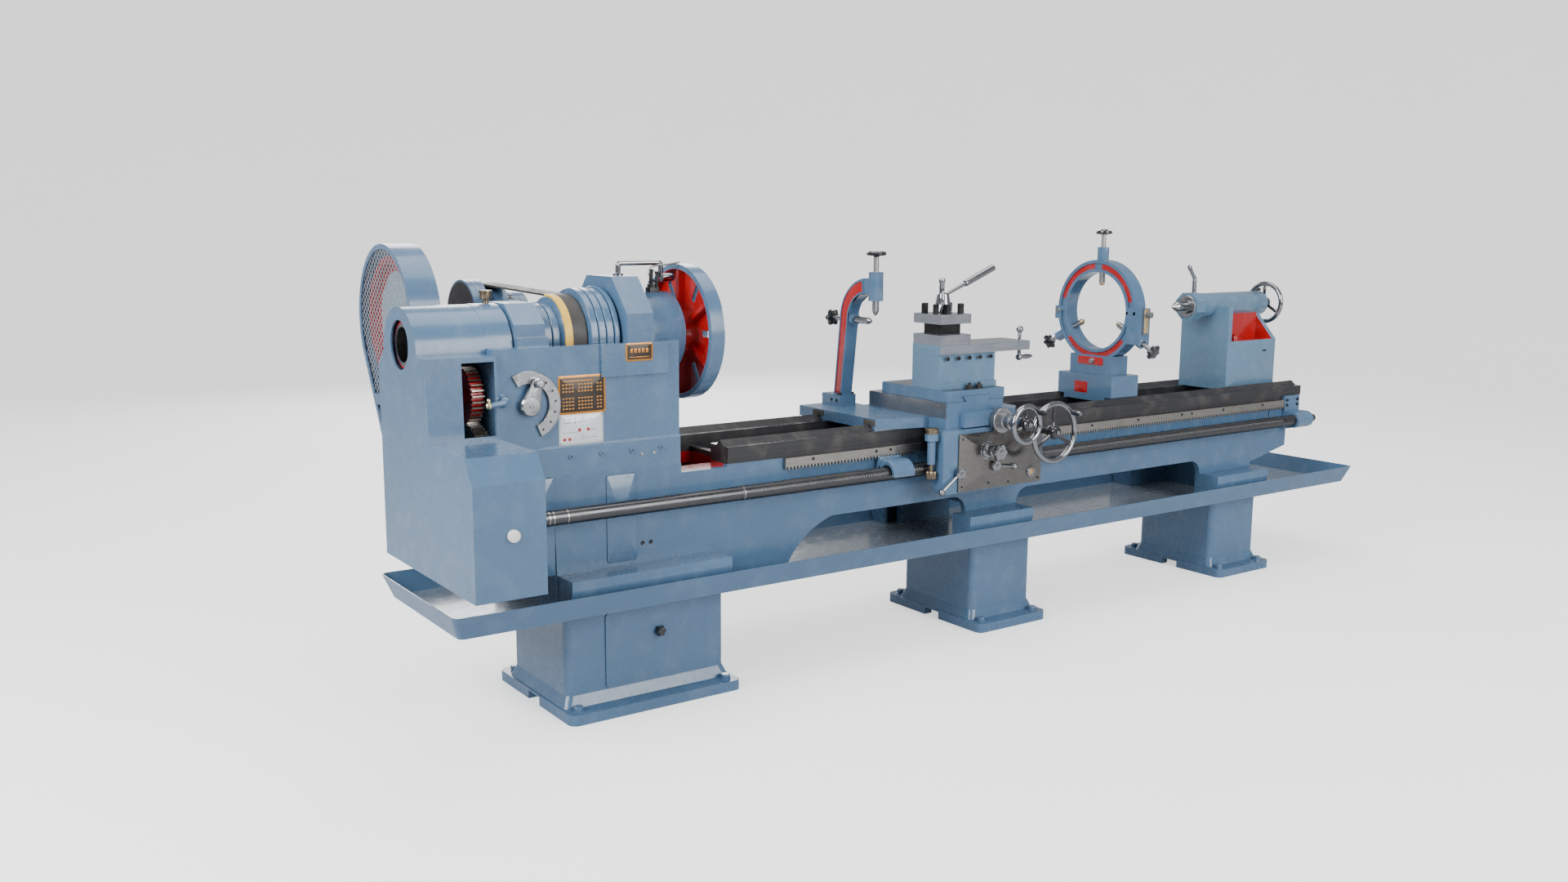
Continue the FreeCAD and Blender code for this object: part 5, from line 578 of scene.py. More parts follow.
# Name: slot, coat, strength and distance of the bump in millimetres, layers
LOOKS = {
    "blue_enamel": ("blue_paint", 0.35, 0.3, 0.6, lambda: [blue()]),
    "red_enamel": ("red_paint", 0.15, 0.3, 0.6, lambda: [red()]),
    "lumpy_blue_enamel": ("blue_paint", 0.6, 0.6, 1.2, lambda: [
        blue(waves=3.4, gloss=0.14, grime=0.16)]),
    "pale_blue_enamel": ("blue_paint", 0.35, 0.3, 0.6, lambda: [
        blue(waves=2.0, colour=paints().pale)]),
    "motor_paint": ("blue_paint", 0.2, 0.3, 0.6, lambda: [
        blue(colour=(0.09, 0.12, 0.15), waves=1.0)]),
    "bright_steel": ("bright_steel", 0.0, 0.18, 0.3, lambda: [milled()]),
    "screw_steel": ("bright_steel", 0.0, 0.16, 0.3, lambda: [
        ringed(SCREW, 500.0, 0.24, (0.10, 0.10, 0.105))]),
    "screw_collar_steel": ("bright_steel", 0.0, 0.16, 0.3, lambda: [
        ringed(SCREW, 500.0, 0.2, (0.3, 0.29, 0.28))]),
    "rack_steel": ("machined_iron", 0.0, 0.2, 0.3, lambda: [
        milled(colour=(0.36, 0.34, 0.31), gloss=0.26)]),
    "apron_steel": ("machined_iron", 0.0, 0.12, 0.6, lambda: [
        milled(colour=(0.19, 0.18, 0.17), stretch=(40, 40, 60), gloss=0.22, lines=0.35)]),
    "chrome_plate": ("bright_steel", 0.0, 0.04, 0.6, lambda: [
        plain(1.0, paints().chrome, 420.0, 0.14, 0.07)]),
    "black_gloss": ("black_plastic", 0.5, 0.06, 0.6, lambda: [
        plain(0.0, paints().black, 260.0, 0.10, 0.14)]),
    "black_oxide": ("dark_steel", 0.0, 0.15, 0.6, lambda: [
        plain(0.7, (0.03, 0.03, 0.033), 520.0, 0.3, 0.36)]),
    "belt_rubber": ("belt_rubber", 0.0, 0.3, 0.6, lambda: [
        plain(0.0, (0.018, 0.018, 0.018), 700.0, 0.35, 0.55)]),
    "mesh_zinc": ("mesh_steel", 0.0, 0.1, 0.6, lambda: [
        plain(0.8, (0.56, 0.61, 0.66), 300.0, 0.2, 0.28)]),
    "latch_plastic": ("white_plastic", 0.3, 0.06, 0.6, lambda: [
        plain(0.0, (0.72, 0.72, 0.68), 400.0, 0.15, 0.28)]),
    "jaw_bronze": ("bright_steel", 0.0, 0.1, 0.6, lambda: [
        plain(1.0, (0.70, 0.55, 0.32), 300.0, 0.2, 0.3)]),
    "worn_casting": ("machined_iron", 0.0, 0.35, 0.8, lambda: [
        plain(1.0, (0.36, 0.37, 0.38), 90.0, 0.6, 0.24)]),
    "plated_brass": ("bright_steel", 0.0, 0.08, 0.6, lambda: [
        plain(1.0, (0.62, 0.52, 0.30), 300.0, 0.3, 0.16)]),
    "tarnished_brass": ("dark_steel", 0.0, 0.12, 0.6, lambda: [
        plain(1.0, (0.24, 0.19, 0.13), 240.0, 0.4, 0.25)]),
    "amber_plate": ("machined_iron", 0.2, 0.08, 0.6, lambda: [
        plain(0.6, paints().amber, 200.0, 0.3, 0.3)]),
    "dark_print": ("dark_steel", 0.0, 0.05, 0.6, lambda: [
        plain(0.2, (0.03, 0.02, 0.012), 300.0, 0.1, 0.35)]),
    "pale_plate": ("white_plastic", 0.2, 0.05, 0.6, lambda: [
        plain(0.1, (0.62, 0.65, 0.68), 200.0, 0.15, 0.3)]),
    "felt_and_brass": ("dark_steel", 0.0, 0.3, 0.6, lambda: [
        plain(0.0, (0.05, 0.045, 0.04), 900.0, 0.4, 0.8)]),
}


MADE = {}


def material(look):
    """A material as it is, or by its name in the table, made when it is first asked for."""
    if not isinstance(look, str):
        return look
    if look not in MADE:
        _, coat, bump, distance, layers = LOOKS[look]
        MADE[look] = finish(look, layers(), coat, bump, distance)
    return MADE[look]


def finish(name, layers, coat=0.0, bump=0.3, distance=0.6):
    """Stack coats into one material, the later ones over the earlier ones by their masks."""
    made = bpy.data.materials.new(name)
    made.use_nodes = True
    tree = made.node_tree
    shader = tree.nodes["Principled BSDF"]
    same = len({metallic for _, metallic, _, _ in layers}) == 1
    (kind, metal, _, values), *rest = layers
    base = group_node(tree, kind, **values)
    colour, rough, height = base["Colour"], base["Roughness"], base["Height"]
    for kind, metallic, mask, values in rest:
        look = group_node(tree, kind, **values)
        share = mask(tree)
        colour = blend(tree, share, colour, look["Colour"])
        rough = between(tree, share, rough, look["Roughness"])
        height = between(tree, share, height, look["Height"])
        if not same:
            metal = between(tree, share, metal, metallic)
    relief = add(tree, "Bump", {"Strength": bump, "Distance": distance * MM, "Height": height})
    for socket, value in (("Base Color", colour), ("Roughness", rough), ("Normal", relief)):
        tree.links.new(value, shader.inputs[socket])
    if same:
        shader.inputs["Metallic"].default_value = metal
    else:
        tree.links.new(metal, shader.inputs["Metallic"])
    shader.inputs["Coat Weight"].default_value = coat
    shader.inputs["Coat Roughness"].default_value = 0.08
    return made


def dress(look, *nodes):
    """Give CAD nodes a material, by itself or by its name in the table."""
    for node in nodes:
        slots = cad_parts[node].data.materials
        slots.clear()
        slots.append(material(look))


# Operators, one for each piece or group of like pieces

class LatheOperator(bpy.types.Operator):
    """Base of the operators"""
    bl_idname = "lathe.base"
    bl_label = "Base"
    bl_options = {"REGISTER"}

    def execute(self, context):
        self.build()
        return {"FINISHED"}


class LATHE_OT_castings(LatheOperator):
    """Paint the castings and sheets, with red recesses and bright or dark machined faces"""
    bl_idname = "lathe.castings"
    bl_label = "Castings"

    def build(self):
        up = facing((0, 0, 1))
        dress(finish("leg_paint", [blue(grime=0.2)], 0.3), "leg_left", "leg_middle",
              "leg_right", "leg_door")
        dress("blue_enamel", "headstock", "rear_bearing_cap", "front_bearing_cap",
              "countershaft_brackets", "belt_guard", "end_guard", "apron", "lead_screw_bracket")
        # Partly painted light: the tray's floor takes a worn grey, lighter than its walls' blue,
        # lifted to make up for the shade it sits in.
        floor = both(up, box((-2120, -265, 327), (2020, 265, 334)))
        dress(finish("tray_paint", [
            blue(gloss=0.3), plain(0.3, (0.24, 0.28, 0.33), 60.0, 0.2, 0.2, floor)], 0.25),
            "chip_tray")
        inside = box((-1700, -168.5, 560), (-985, 168.5, 731))
        rails = box((-1250, -200, 714), (1800, 200, 800))
        tops = both(up, box((-1250, -200, 764), (1800, 200, 800)))
        dress(finish("bed_paint", [
            blue(), red(inside, waves=2.4), ground(rails, gloss=0.42),
            milled(tops, (0.30, 0.30, 0.31), 0.16)], 0.1), "bed")
        bridge = box((-398, -305, 806), (-134, 268, 880))
        dress(finish("saddle_paint", [blue(), milled(bridge)], 0.2), "saddle")
        dress("pale_blue_enamel", "compound_base")
        top = both(up, box((-400, -310, 897), (-100, 60, 900)))
        dress(finish("cross_paint", [blue(), milled(top, (0.12, 0.13, 0.14))], 0.25),
              "cross_slide")
        end = facing((-1, 0, 0))
        dress(finish("top_slide_steel", [
            milled(None, (0.52, 0.56, 0.62), 0.2), blue(end, (0.12, 0.21, 0.31))],
            bump=0.2, distance=0.3), "top_slide")
        waist = box((-400, -300, 1085.5), (-200, -90, 1121.5))
        dress(finish("tool_post_steel", [
            milled(None, (0.58, 0.61, 0.67), 0.16),
            plain(0.6, (0.02, 0.02, 0.022), 300.0, 0.2, 0.25, waist)], bump=0.15, distance=0.3),
            "tool_post")
        dress("black_oxide", "tool_screws")
        hollow = box((1370.5, -120.5, 972.5), (1649.5, -35.5, 1125))
        dress(finish("tailstock_paint", [blue(None, paints().pale, 2.0), red(hollow)], 0.35),
              "tailstock_body")
        front = box((-1226, -300, 800), (-1200, 300, 1400))
        back = both(nearer((0, 0, AXIS), 196.5),
                    box((-1310, -300, 800), (-1244.5, 300, 1400)))
        dress(finish("face_plate_paint", [
            blue(), red(back, waves=2.6), ringed((0, 0, AXIS), 520.0, mask=front)], 0.4),
            "face_plate")
        dress("lumpy_blue_enamel", "follow_rest", "steady_rest_base", "steady_rest_cap")


class LATHE_OT_shafts(LatheOperator):
    """Finish the spindle, shafts, gears, pulleys, belts and motor"""
    bl_idname = "lathe.shafts"
    bl_label = "Shafts, gears and belts"

    def build(self):
        for name, node, centre, rings, gloss in (
                ("spindle_steel", "spindle", (0, 0, AXIS), 700.0, 0.2),
                ("quill_steel", "tailstock_quill", (0, 0, AXIS), 700.0, 0.16),
                ("motor_pulley_steel", "motor_pulley", MOTOR, 420.0, 0.3)):
            dress(finish(name, [ringed(centre, rings, gloss)], bump=0.16, distance=0.3), node)
        piece("spindle_tail_nut", "spindle", "red_enamel",
              banded([(59.5, 0), (66, 0), (66, 26), (59.5, 26)], (-2156, 0, AXIS)))
        dress("screw_steel", "lead_screw")
        hub, shaft = nearer(COUNTER, 158), nearer(COUNTER, 23)
        # Painted shade: inside 119 mm the cone's flat end face is coloured near black, standing in
        # for the shade in its hollow end.
        hollow = both(nearer(COUNTER, 119), box((-1778, 380, 1000), (-1775, 660, 1290)))
        dress(finish("counter_paint_and_hollow_shade", [
            blue(), layer("enamel", 0.0, hollow, (0.02, 0.014, 0.012), gloss=0.5),
            ringed(COUNTER, 600.0, mask=shaft)], 0.2), "countershaft_cone")
        dress(finish("pulley_paint", [
            red(waves=1.0), blue(hub, (0.32, 0.48, 0.56), 1.0, gloss=0.2)], 0.4),
            "driven_pulley")
        band = box((-1720, -400, 900), (-1695.5, 14, 1500))
        dress(finish("flat_belt", [
            plain(0.0, (0.03, 0.028, 0.026), 600.0, 0.4, 0.5),
            plain(0.0, paints().yellow, 500.0, 0.25, 0.4, band)]), "spindle_belt")
        dress("belt_rubber", "drive_belts")
        dress("motor_paint", "drive_motor")
        dress(finish("change_gear_steel", [
            ringed((0, -90, 779), 300.0, 0.3, (0.25, 0.23, 0.20))], bump=0.15), "change_gear")
        middle = (0, -60, 971.68)
        dress(finish("tumbler_gear_paint", [
            ringed(middle, 300.0, 0.3, (0.4, 0.36, 0.3)), red(nearer(middle, 79))], 0.2),
            "tumbler_gear")
        fins = [spun([(92, 0), (99, 1), (99, 4), (92, 5)], (-1910 + 14 * index, *MOTOR[1:]),
                     RIGHT, 48) for index in range(17)]
        cap = [(0, 0), (70, 0), (88, 5), (94, 14), (94, 24), (0, 24)]
        piece("motor_fins", "frame", "motor_paint", *fins,
              spun(cap, (-1680, *MOTOR[1:]), RIGHT, 48),
              at(plate(34, 26, 6, 0, 30, 3), (-1800, 407, 806), FRONT))


def ribbed(steps, cuts, outline):
    """Rows of (radius, x) along stepped drums: each step is cut into equal ribs."""
    rows = []
    for left, right, radius in steps:
        count = cuts or max(1, round((right - left) / 25))
        width = (right - left) / count
        for start in left + width * np.arange(count):
            rows += [(radius + out, start + along % width) for out, along in outline]
    return rows


class LATHE_OT_cone(LatheOperator):
    """Turn the ribbed cone pulleys and smooth sleeves over the round castings"""
    bl_idname = "lathe.cone"
    bl_label = "Cone pulley and drums"

    def build(self):
        # A rib's outline: (out from the step's radius, along from its start, below 0 its end)
        rib = ((-9, 0), (-9, 1.2), (-1.6, 1.4), (-0.2, 3.4), (-0.2, -3.4), (-1.6, -1.4),
               (-9, -1.2))
        steps = ((-1776, -1722, 104), (-1722, -1646, 122), (-1646, -1570, 146),
                 (-1570, -1552, 150))
        piece("ribbed_cone", "spindle", "blue_enamel", spun(
            [(62, -1776), *ribbed(steps, 0, rib), (62, -1552)], (0, 0, AXIS), RIGHT, 96),
            stands_for="cone_pulley")
        steps = ((-1776, -1722, 126), (-1722, -1646, 108), (-1646, -1570, 84))
        back = [(80, -1570), (80, -1640), (104, -1650), (104, -1716), (119, -1728),
                (119, -1776.4)]
        piece("counter_cone", "countershaft", "blue_enamel", banded(
            ribbed(steps, 3, ((-3, 0), (0.3, 2), (0.3, -2), (-3, -0.4))) + back, COUNTER))
        piece("headstock_drums", "frame", "blue_enamel",
              banded([(120, -1449), (128.4, -1449), (128.4, -1318), (126, -1313.7),
                      (120, -1313.7)], (0, 0, AXIS)),
              banded([(118, -1965.5), (130.4, -1965.5), (130.4, -1888), (127, -1884.6),
                      (118, -1884.6)], (0, 0, AXIS - 22)),
              banded([(110, -1887), (116, -1887), (116, -1881), (110, -1881)],
                     (0, 0, AXIS - 22)))
        piece("face_plate_rim", "spindle", "blue_enamel", banded(
            [(196, -1274.6), (212.3, -1274.6), (212.3, -1229), (209, -1224.7), (196, -1224.7)],
            (0, 0, AXIS)))
        piece("tailstock_barrel", "tailstock", "pale_blue_enamel", banded(
            [(40, 1278), (52.3, 1278), (52.3, 1698), (49, 1704.6), (40, 1704.6)], (0, 0, AXIS)))


class LATHE_OT_guard_mesh(LatheOperator):
    """Weave the expanded metal behind the belt guard's face"""
    bl_idname = "lathe.guard_mesh"
    bl_label = "Belt guard mesh"

    def build(self):
        cell = np.array([sizes().mesh_cell * 1150, sizes().mesh_cell * 1000])
        high, low = np.array(COUNTER[1:], float), np.array(MOTOR[1:], float)
        y, z = np.meshgrid(np.arange(-200, 800, cell[0]), np.arange(650, 1400, cell[1]))
        corner = np.stack([y.ravel(), z.ravel()], -1)
        first = np.vstack([corner, corner, corner + cell / 2, corner + cell / 2])
        rises = np.tile(np.repeat([-0.5, 0.5], len(corner)), 2)
        run = cell * np.stack([0 * rises + 0.5, rises], -1)
        share = np.clip((first + run / 2 - low) @ (high - low) / ((high - low) @ (high - low)),
                        0, 1)
        middle = low + share[:, None] * (high - low)
        keep = np.linalg.norm(first + run / 2 - middle, axis=1) < 90 + share * 147
        first, run = first[keep], run[keep]
        side = np.stack([-run[:, 1], run[:, 0]], -1) / np.linalg.norm(run, axis=1)[:, None] * 1.8
        corners = np.stack([first + side, first + run + side, first + run - side, first - side],
                           1)
        near = np.concatenate([np.full(corners.shape[:2] + (1,), -2027.6), corners], -1)
        near[:, 1:3, 0] += 0.9
        points = np.concatenate([near, near + [1.1, 0, 0]], 1).reshape(-1, 3)
        block = np.array([[0, 1, 2, 3], [7, 6, 5, 4], [0, 4, 5, 1], [1, 5, 6, 2], [2, 6, 7, 3],
                          [3, 7, 4, 0]])
        faces = np.arange(len(first))[:, None, None] * 8 + block
        piece("guard_lattice", "frame", "mesh_zinc", (points, faces.reshape(-1, 4)),
              stands_for="belt_guard_mesh")


class LATHE_OT_rack(LatheOperator):
    """Cut the fine rack, set its screws and wind the thread of the lead screw"""
    bl_idname = "lathe.rack"
    bl_label = "Rack and lead screw"

    def build(self):
        left, right = -990.0, 1650.0
        count = int((right - left) / (sizes().rack_pitch * 1000))
        step = (right - left) / count
        tooth = np.array([(0, 676), (0.18, 676), (0.36, 685.5), (0.64, 685.5), (0.82, 676)])
        x = (left + step * (np.arange(count)[:, None] + tooth[:, 0])).ravel()
        x, low = np.append(x, right), np.append(np.tile(tooth[:, 1], count), 676)
        section = [np.stack([x, 0 * x + y, 0 * x + level], -1) for y, level in (
            (-190.2, low), (-203.6, low), (-204.2, low + 0.6), (-204.2, 713.4), (-203.6, 714),
            (-190.2, 714))]
        piece("fine_rack", "frame", "rack_steel", capped(np.stack(section, 1)),
              stands_for="bed_rack")
        spots = np.arange(left + 110, right, 264.0)
        spots = np.concatenate([spots, spots[1::3] + 62])
        piece("rack_screws", "frame", "black_oxide",
              *[at(cap_screw(5.2, 1.4), (spot, -204.1, 703), FRONT)
                for spot in spots if spot < right - 20])
        pitch, around = sizes().thread_pitch * 1000, 14
        left, right = -1180.0, 1560.0
        turns = np.arange(int((right - left) / pitch * around)) / around
        thread = [np.stack([left + pitch * (turns + shift),
                            SCREW[1] + reach * np.cos(2 * np.pi * turns),
                            SCREW[2] + reach * np.sin(2 * np.pi * turns)], -1)
                  for shift, reach in ((-0.30, 22.4), (-0.16, 23.8), (0.16, 23.8), (0.30, 22.4))]
        piece("screw_thread", "lead_screw", "screw_steel", grid(np.stack(thread, 1)), sharp=60)
        piece("screw_collars", "lead_screw", "screw_collar_steel",
              *[banded([(22, 0), (radius, 0.4), (radius, 5.6), (22, 6)], (x, *SCREW[1:]),
                       count=48)
                for x, radius in ((-1950, 23.8), (-1902, 23.4), (-1850, 24.4), (-1836, 23.4),
                                  (-1792, 23.8), (-1190, 24.0))])


def wheel_parts(radius, back, shaft):
    """A handwheel about Z: its round rim, its hub with three dished spokes, its handle."""
    middle = back + 17
    turn, side = circle(80)[:, None], circle(20)[None]
    rim = grid(round_points(radius - 10 + 9.8 * np.cos(side), turn,
                            middle + 9.8 * np.sin(side)), True)
    hub = turned([(0, shaft), (12, shaft), (12, back), (24, back + 1), (25, back + 4),
                  (23, back + 26), (18, back + 33), (11, back + 34), (10, back + 30),
                  (0, back + 30)], 48)
    share, side = np.linspace(0, 1, 14)[:, None], circle(12)
    swell = np.sin(np.pi * share)
    spoke = capped(np.stack([10 + share * (radius - 20) + 0 * side,
                             (10.5 - 4 * swell) * np.cos(side),
                             middle - 5 * swell + 4.6 * np.sin(side)], -1))
    spokes = [at(spoke, (0, 0, 0), TOP, 120 * index + 90) for index in range(3)]
    turn = math.radians(40)
    handle = spun([(0, 0), (5.5, 0), (5.5, 8), (8.5, 10), (10, 24), (9.5, 38), (7, 49), (4, 52),
                   (0, 52)],
                  ((radius - 10) * math.cos(turn), (radius - 10) * math.sin(turn), middle),
                  count=28)
    return rim, together([hub, *spokes]), handle


class LATHE_OT_wheels(LatheOperator):
    """Turn the three handwheels, with chrome rims, black spokes and the cross dial's marks"""
    bl_idname = "lathe.wheels"
    bl_label = "Handwheels"

    def build(self):
        cross = (-175, 0, 790)
        for name, node, centre, way, radius, back, shaft, grip in (
                ("cross_wheel", "cross_handwheel", cross, FRONT, 71, 448, 261, "black_gloss"),
                ("carriage_wheel", "carriage_handwheel", (16, 0, 740), FRONT, 111, 395, 275,
                 "chrome_plate"),
                ("tail_wheel", "tailstock_handwheel", (0, 0, AXIS), RIGHT, 93, 1735, 1642,
                 "black_gloss")):
            rim, spokes, handle = (at(part, centre, way)
                                   for part in wheel_parts(radius, back, shaft))
            piece(name + "_rim", name, "chrome_plate", rim, stands_for=node)
            piece(name + "_spokes", name, "black_gloss", spokes)
            piece(name + "_handle", name, grip, handle, slot="black_plastic")
            end = np.array(centre) + np.multiply(way[2], back + 30)
            piece(name + "_nut", name, "chrome_plate", at(hex_head(15, 8), end, way))
        piece("cross_dial", "cross_wheel", "bright_steel",
              spun([(12, 328.4), (43, 328.4), (45, 330), (45, 351), (43, 353.8), (12, 353.8)],
                   cross, FRONT, 80),
              spun([(12, 354), (30, 354), (30, 372), (26, 376), (26, 396), (20, 400), (20, 449),
                    (12, 449)], cross, FRONT, 48))
        marks = []
        for index in range(60):
            half = 2.5 if index % 5 else 4.5
            cos, sin = math.cos(math.radians(6 * index)), math.sin(math.radians(6 * index))
            marks.append(at(plate(0.45, half, 0.3, 44.6, 45.25, 0.1), (-175, half - 352, 790),
                            ((sin, 0, -cos), (0, 1, 0), (cos, 0, sin))))
        piece("cross_dial_marks", "cross_wheel", "black_oxide", *marks)


class LATHE_OT_knobs(LatheOperator):
    """Mould the lobed knobs, the latch, the rests' screws and the apron's chrome controls"""
    bl_idname = "lathe.knobs"
    bl_label = "Knobs and levers"

    def build(self):
        place = (-1457, -195, 222)
        piece("door_star", "door_knob", "black_gloss", at(star(18, 21.5, 0.4), place, FRONT),
              spun([(0, -8), (5, -8), (5, 1), (0, 1)], place, FRONT, 24), stands_for="door_knob")
        piece("latch_button", "guard_latch", "latch_plastic",
              spun([(0, -8), (5, -8), (5, 0), (15.5, 0.2), (17, 2), (17, 11), (15, 14.4),
                    (10, 15.8), (0, 16)], (-2061, -497, 659), FRONT, 40),
              stands_for="guard_latch")
        place = (-225, 0, 688)
        piece("clutch_star", "star_knob", "chrome_plate",
              spun([(0, 280), (8, 280), (8, 325.2), (26, 325.2), (28, 328), (28, 340),
                    (24, 345), (19, 346), (19, 366), (12, 372), (12, 384), (0, 384)], place,
                   FRONT, 48),
              spun([(0, 383), (11, 383), (11, 404), (8, 407), (0, 407)], place, FRONT),
              at(waved([(0, 382), (24, 382), (27, 386), (27, 398), (22, 403.5), (0, 404)], 6,
                       0.11), place, FRONT), stands_for="star_knob")
        for name, x, z, long, angle in (("feed", -190, 632, 92, -8),
                                        ("half_nut", -355, 620, 100, 215)):
            lean = math.radians(angle)
            way = np.array([math.cos(lean), 0, math.sin(lean)])
            centre = np.array([x, -337.0, z])
            share = np.linspace(0, 1, 12)
            piece(name + "_rod", name + "_lever", "chrome_plate",
                  spun([(0, 280), (5, 280), (5, 325.2), (18, 325.2), (20, 328), (20, 344),
                        (16, 348.5), (0, 349)], (x, 0, z), FRONT, 40),
                  tube(centre + way * (12 + share[:, None] * (long - 12)), 5 + 0.8 * share),
                  ball(11, centre + way * long),
                  spun([(0, 348), (6, 348), (6, 351), (0, 352)], (x, 0, z), FRONT, 24),
                  stands_for=name + "_lever")
        centre, tip = (-465, 0, AXIS), [(0, 22), (5, 22), (11, 33), (12, 36)]
        piece("follow_top_wheel", "follow_top", "black_gloss",
              spun([(0, 224), (9, 224), (12, 228), (12, 240), (0, 240)], centre),
              spun([(0, 228), (20, 229), (27, 231), (31, 229), (35, 232), (35, 239), (31, 243),
                    (20, 241), (0, 241)], centre, TOP, 56), stands_for="follow_top_screw")
        piece("follow_top_rod", "follow_top", "bright_steel",
              spun([*tip, (12, 159), (9, 160), (9, 226), (0, 226)], centre))
        piece("follow_side_star", "follow_side", "black_gloss",
              at(star(32, 22, 236), centre, BACK), stands_for="follow_side_screw")
        piece("follow_side_rod", "follow_side", "bright_steel",
              spun([*tip, (12, 167), (9, 168), (9, 237), (0, 237)], centre, BACK))
        centre = (690, 0, AXIS)
        for name, angle in (("top", 90), ("back", 332), ("front", 208)):
            way, body = leaning(angle), "steady_{}_jaw".format(name)
            grip = star(32, 22, 298)
            if name == "top":
                grip = turned([(0, 298), (14, 299), (26, 301), (31, 303), (32, 308), (30, 314),
                               (22, 311), (12, 320), (0, 320)], 48)
            piece("steady_{}_knob".format(name), body, "black_gloss", at(grip, centre, way),
                  stands_for="steady_jaw_" + name)
            piece("steady_{}_rod".format(name), body, "bright_steel",
                  spun([(0, 100), (7, 100), (11, 108), (12, 112), (12, 237), (9, 238), (9, 299),
                        (0, 299)], centre, way))
            piece("steady_{}_tip".format(name), body, "jaw_bronze",
                  spun([(12.2, 112), (11.4, 108), (7.4, 99.6), (0, 99.6)], centre, way))


class LATHE_OT_handles(LatheOperator):
    """Bend the back-gear handle, the clamp handle, the crank and the quill lock"""
    bl_idname = "lathe.handles"
    bl_label = "Handles"

    def build(self):
        path = curved([(x, 0, z) for x, z in (
            (-1478, 1300), (-1478, 1328), (-1476, 1337), (-1466, 1337), (-1400, 1337),
            (-1340, 1337), (-1328, 1334), (-1328, 1322), (-1328, 1292))])
        piece("back_gear_bar", "back_gear_handle", "chrome_plate", tube(path, 8),
              spun([(0, 0), (16, 0), (16, 6), (12, 8), (0, 8)], (-1478, 0, 1300)),
              spun([(0, 0), (11, 0), (13, 3), (13, 42), (10, 46), (0, 46)], (-1328, 0, 1291),
                   RIGHT), stands_for="back_gear_handle")
        centre = np.array([-315.0, -182.5, 1155.0])
        tilt = math.radians(68)
        way = np.array([math.sin(tilt), 0, math.cos(tilt)])
        root = centre + [0, 0, 59]
        angle, flats = hexagon(60)
        rows = [(np.minimum(33, flats), 0), (np.minimum(33, flats), 10), (31, 16), (25, 40),
                (22.5, 56), (20, 66), (15, 69)]
        share, along = np.linspace(0, 1, 20), np.linspace(0, 150, 60)
        swell = np.clip(along * 2 + 6, 0, 12) * np.clip((152 - along) / 6, 0.5, 1)
        piece("clamp_lever", "clamp_handle", "chrome_plate",
              at(capped([round_points(radius, angle, level) for radius, level in rows]), centre),
              tube(root + way * (share[:, None] * 124), 6 + 1.6 * share),
              tube(root + way * (106 + along[:, None]), swell, 28), stands_for="clamp_handle")
        x, y, z = middle = (60.0, -182.5, 1034.0)
        piece("crank_balls", "crank", "chrome_plate",
              ball(13, (x, y, z + 50)), ball(13, (x, y, z - 50)), ball(12, middle),
              tube([(x, y, z + rise) for rise in (-46, -20, 20, 46)], [7.5, 5.8, 5.8, 7.5]),
              spun([(9, -20), (10.5, -12), (9, 0), (0, 0)], middle, RIGHT, 28),
              spun([(0, 6), (5, 6), (6, 14), (8.5, 26), (9, 40), (7, 56), (5, 63), (0, 64)],
                   (x, y, z - 50), RIGHT, 28), stands_for="compound_crank")
        arm = curved([(1262, 0, 1226), (1262, 0, 1234), (1258, 0, 1240), (1228, 0, 1277)])
        piece("quill_lock_bar", "quill_lock", "chrome_plate",
              spun([(0, 1162), (9, 1162), (9, 1222), (10, 1226), (0, 1234)], (1262, 0, 0), TOP,
                   28),
              tube(arm, np.linspace(9, 7, len(arm))),
              spun([(0, -14), (6, -13), (8.5, -8), (9, 6), (6, 12), (0, 13)], (1227, 0, 1279),
                   ((0.78, 0, 0.62), (0, 1, 0), (-0.62, 0, 0.78)), 28),
              stands_for="quill_lock_lever")
        piece("box_spanner", "tool_post", "chrome_plate",
              spun([(0, 1189.5), (10, 1189.5), (11, 1193), (11, 1216), (9, 1222), (9, 1262),
                    (11, 1266), (11, 1274), (9, 1278), (0, 1278)], (-372, -240, 0), TOP, 24))


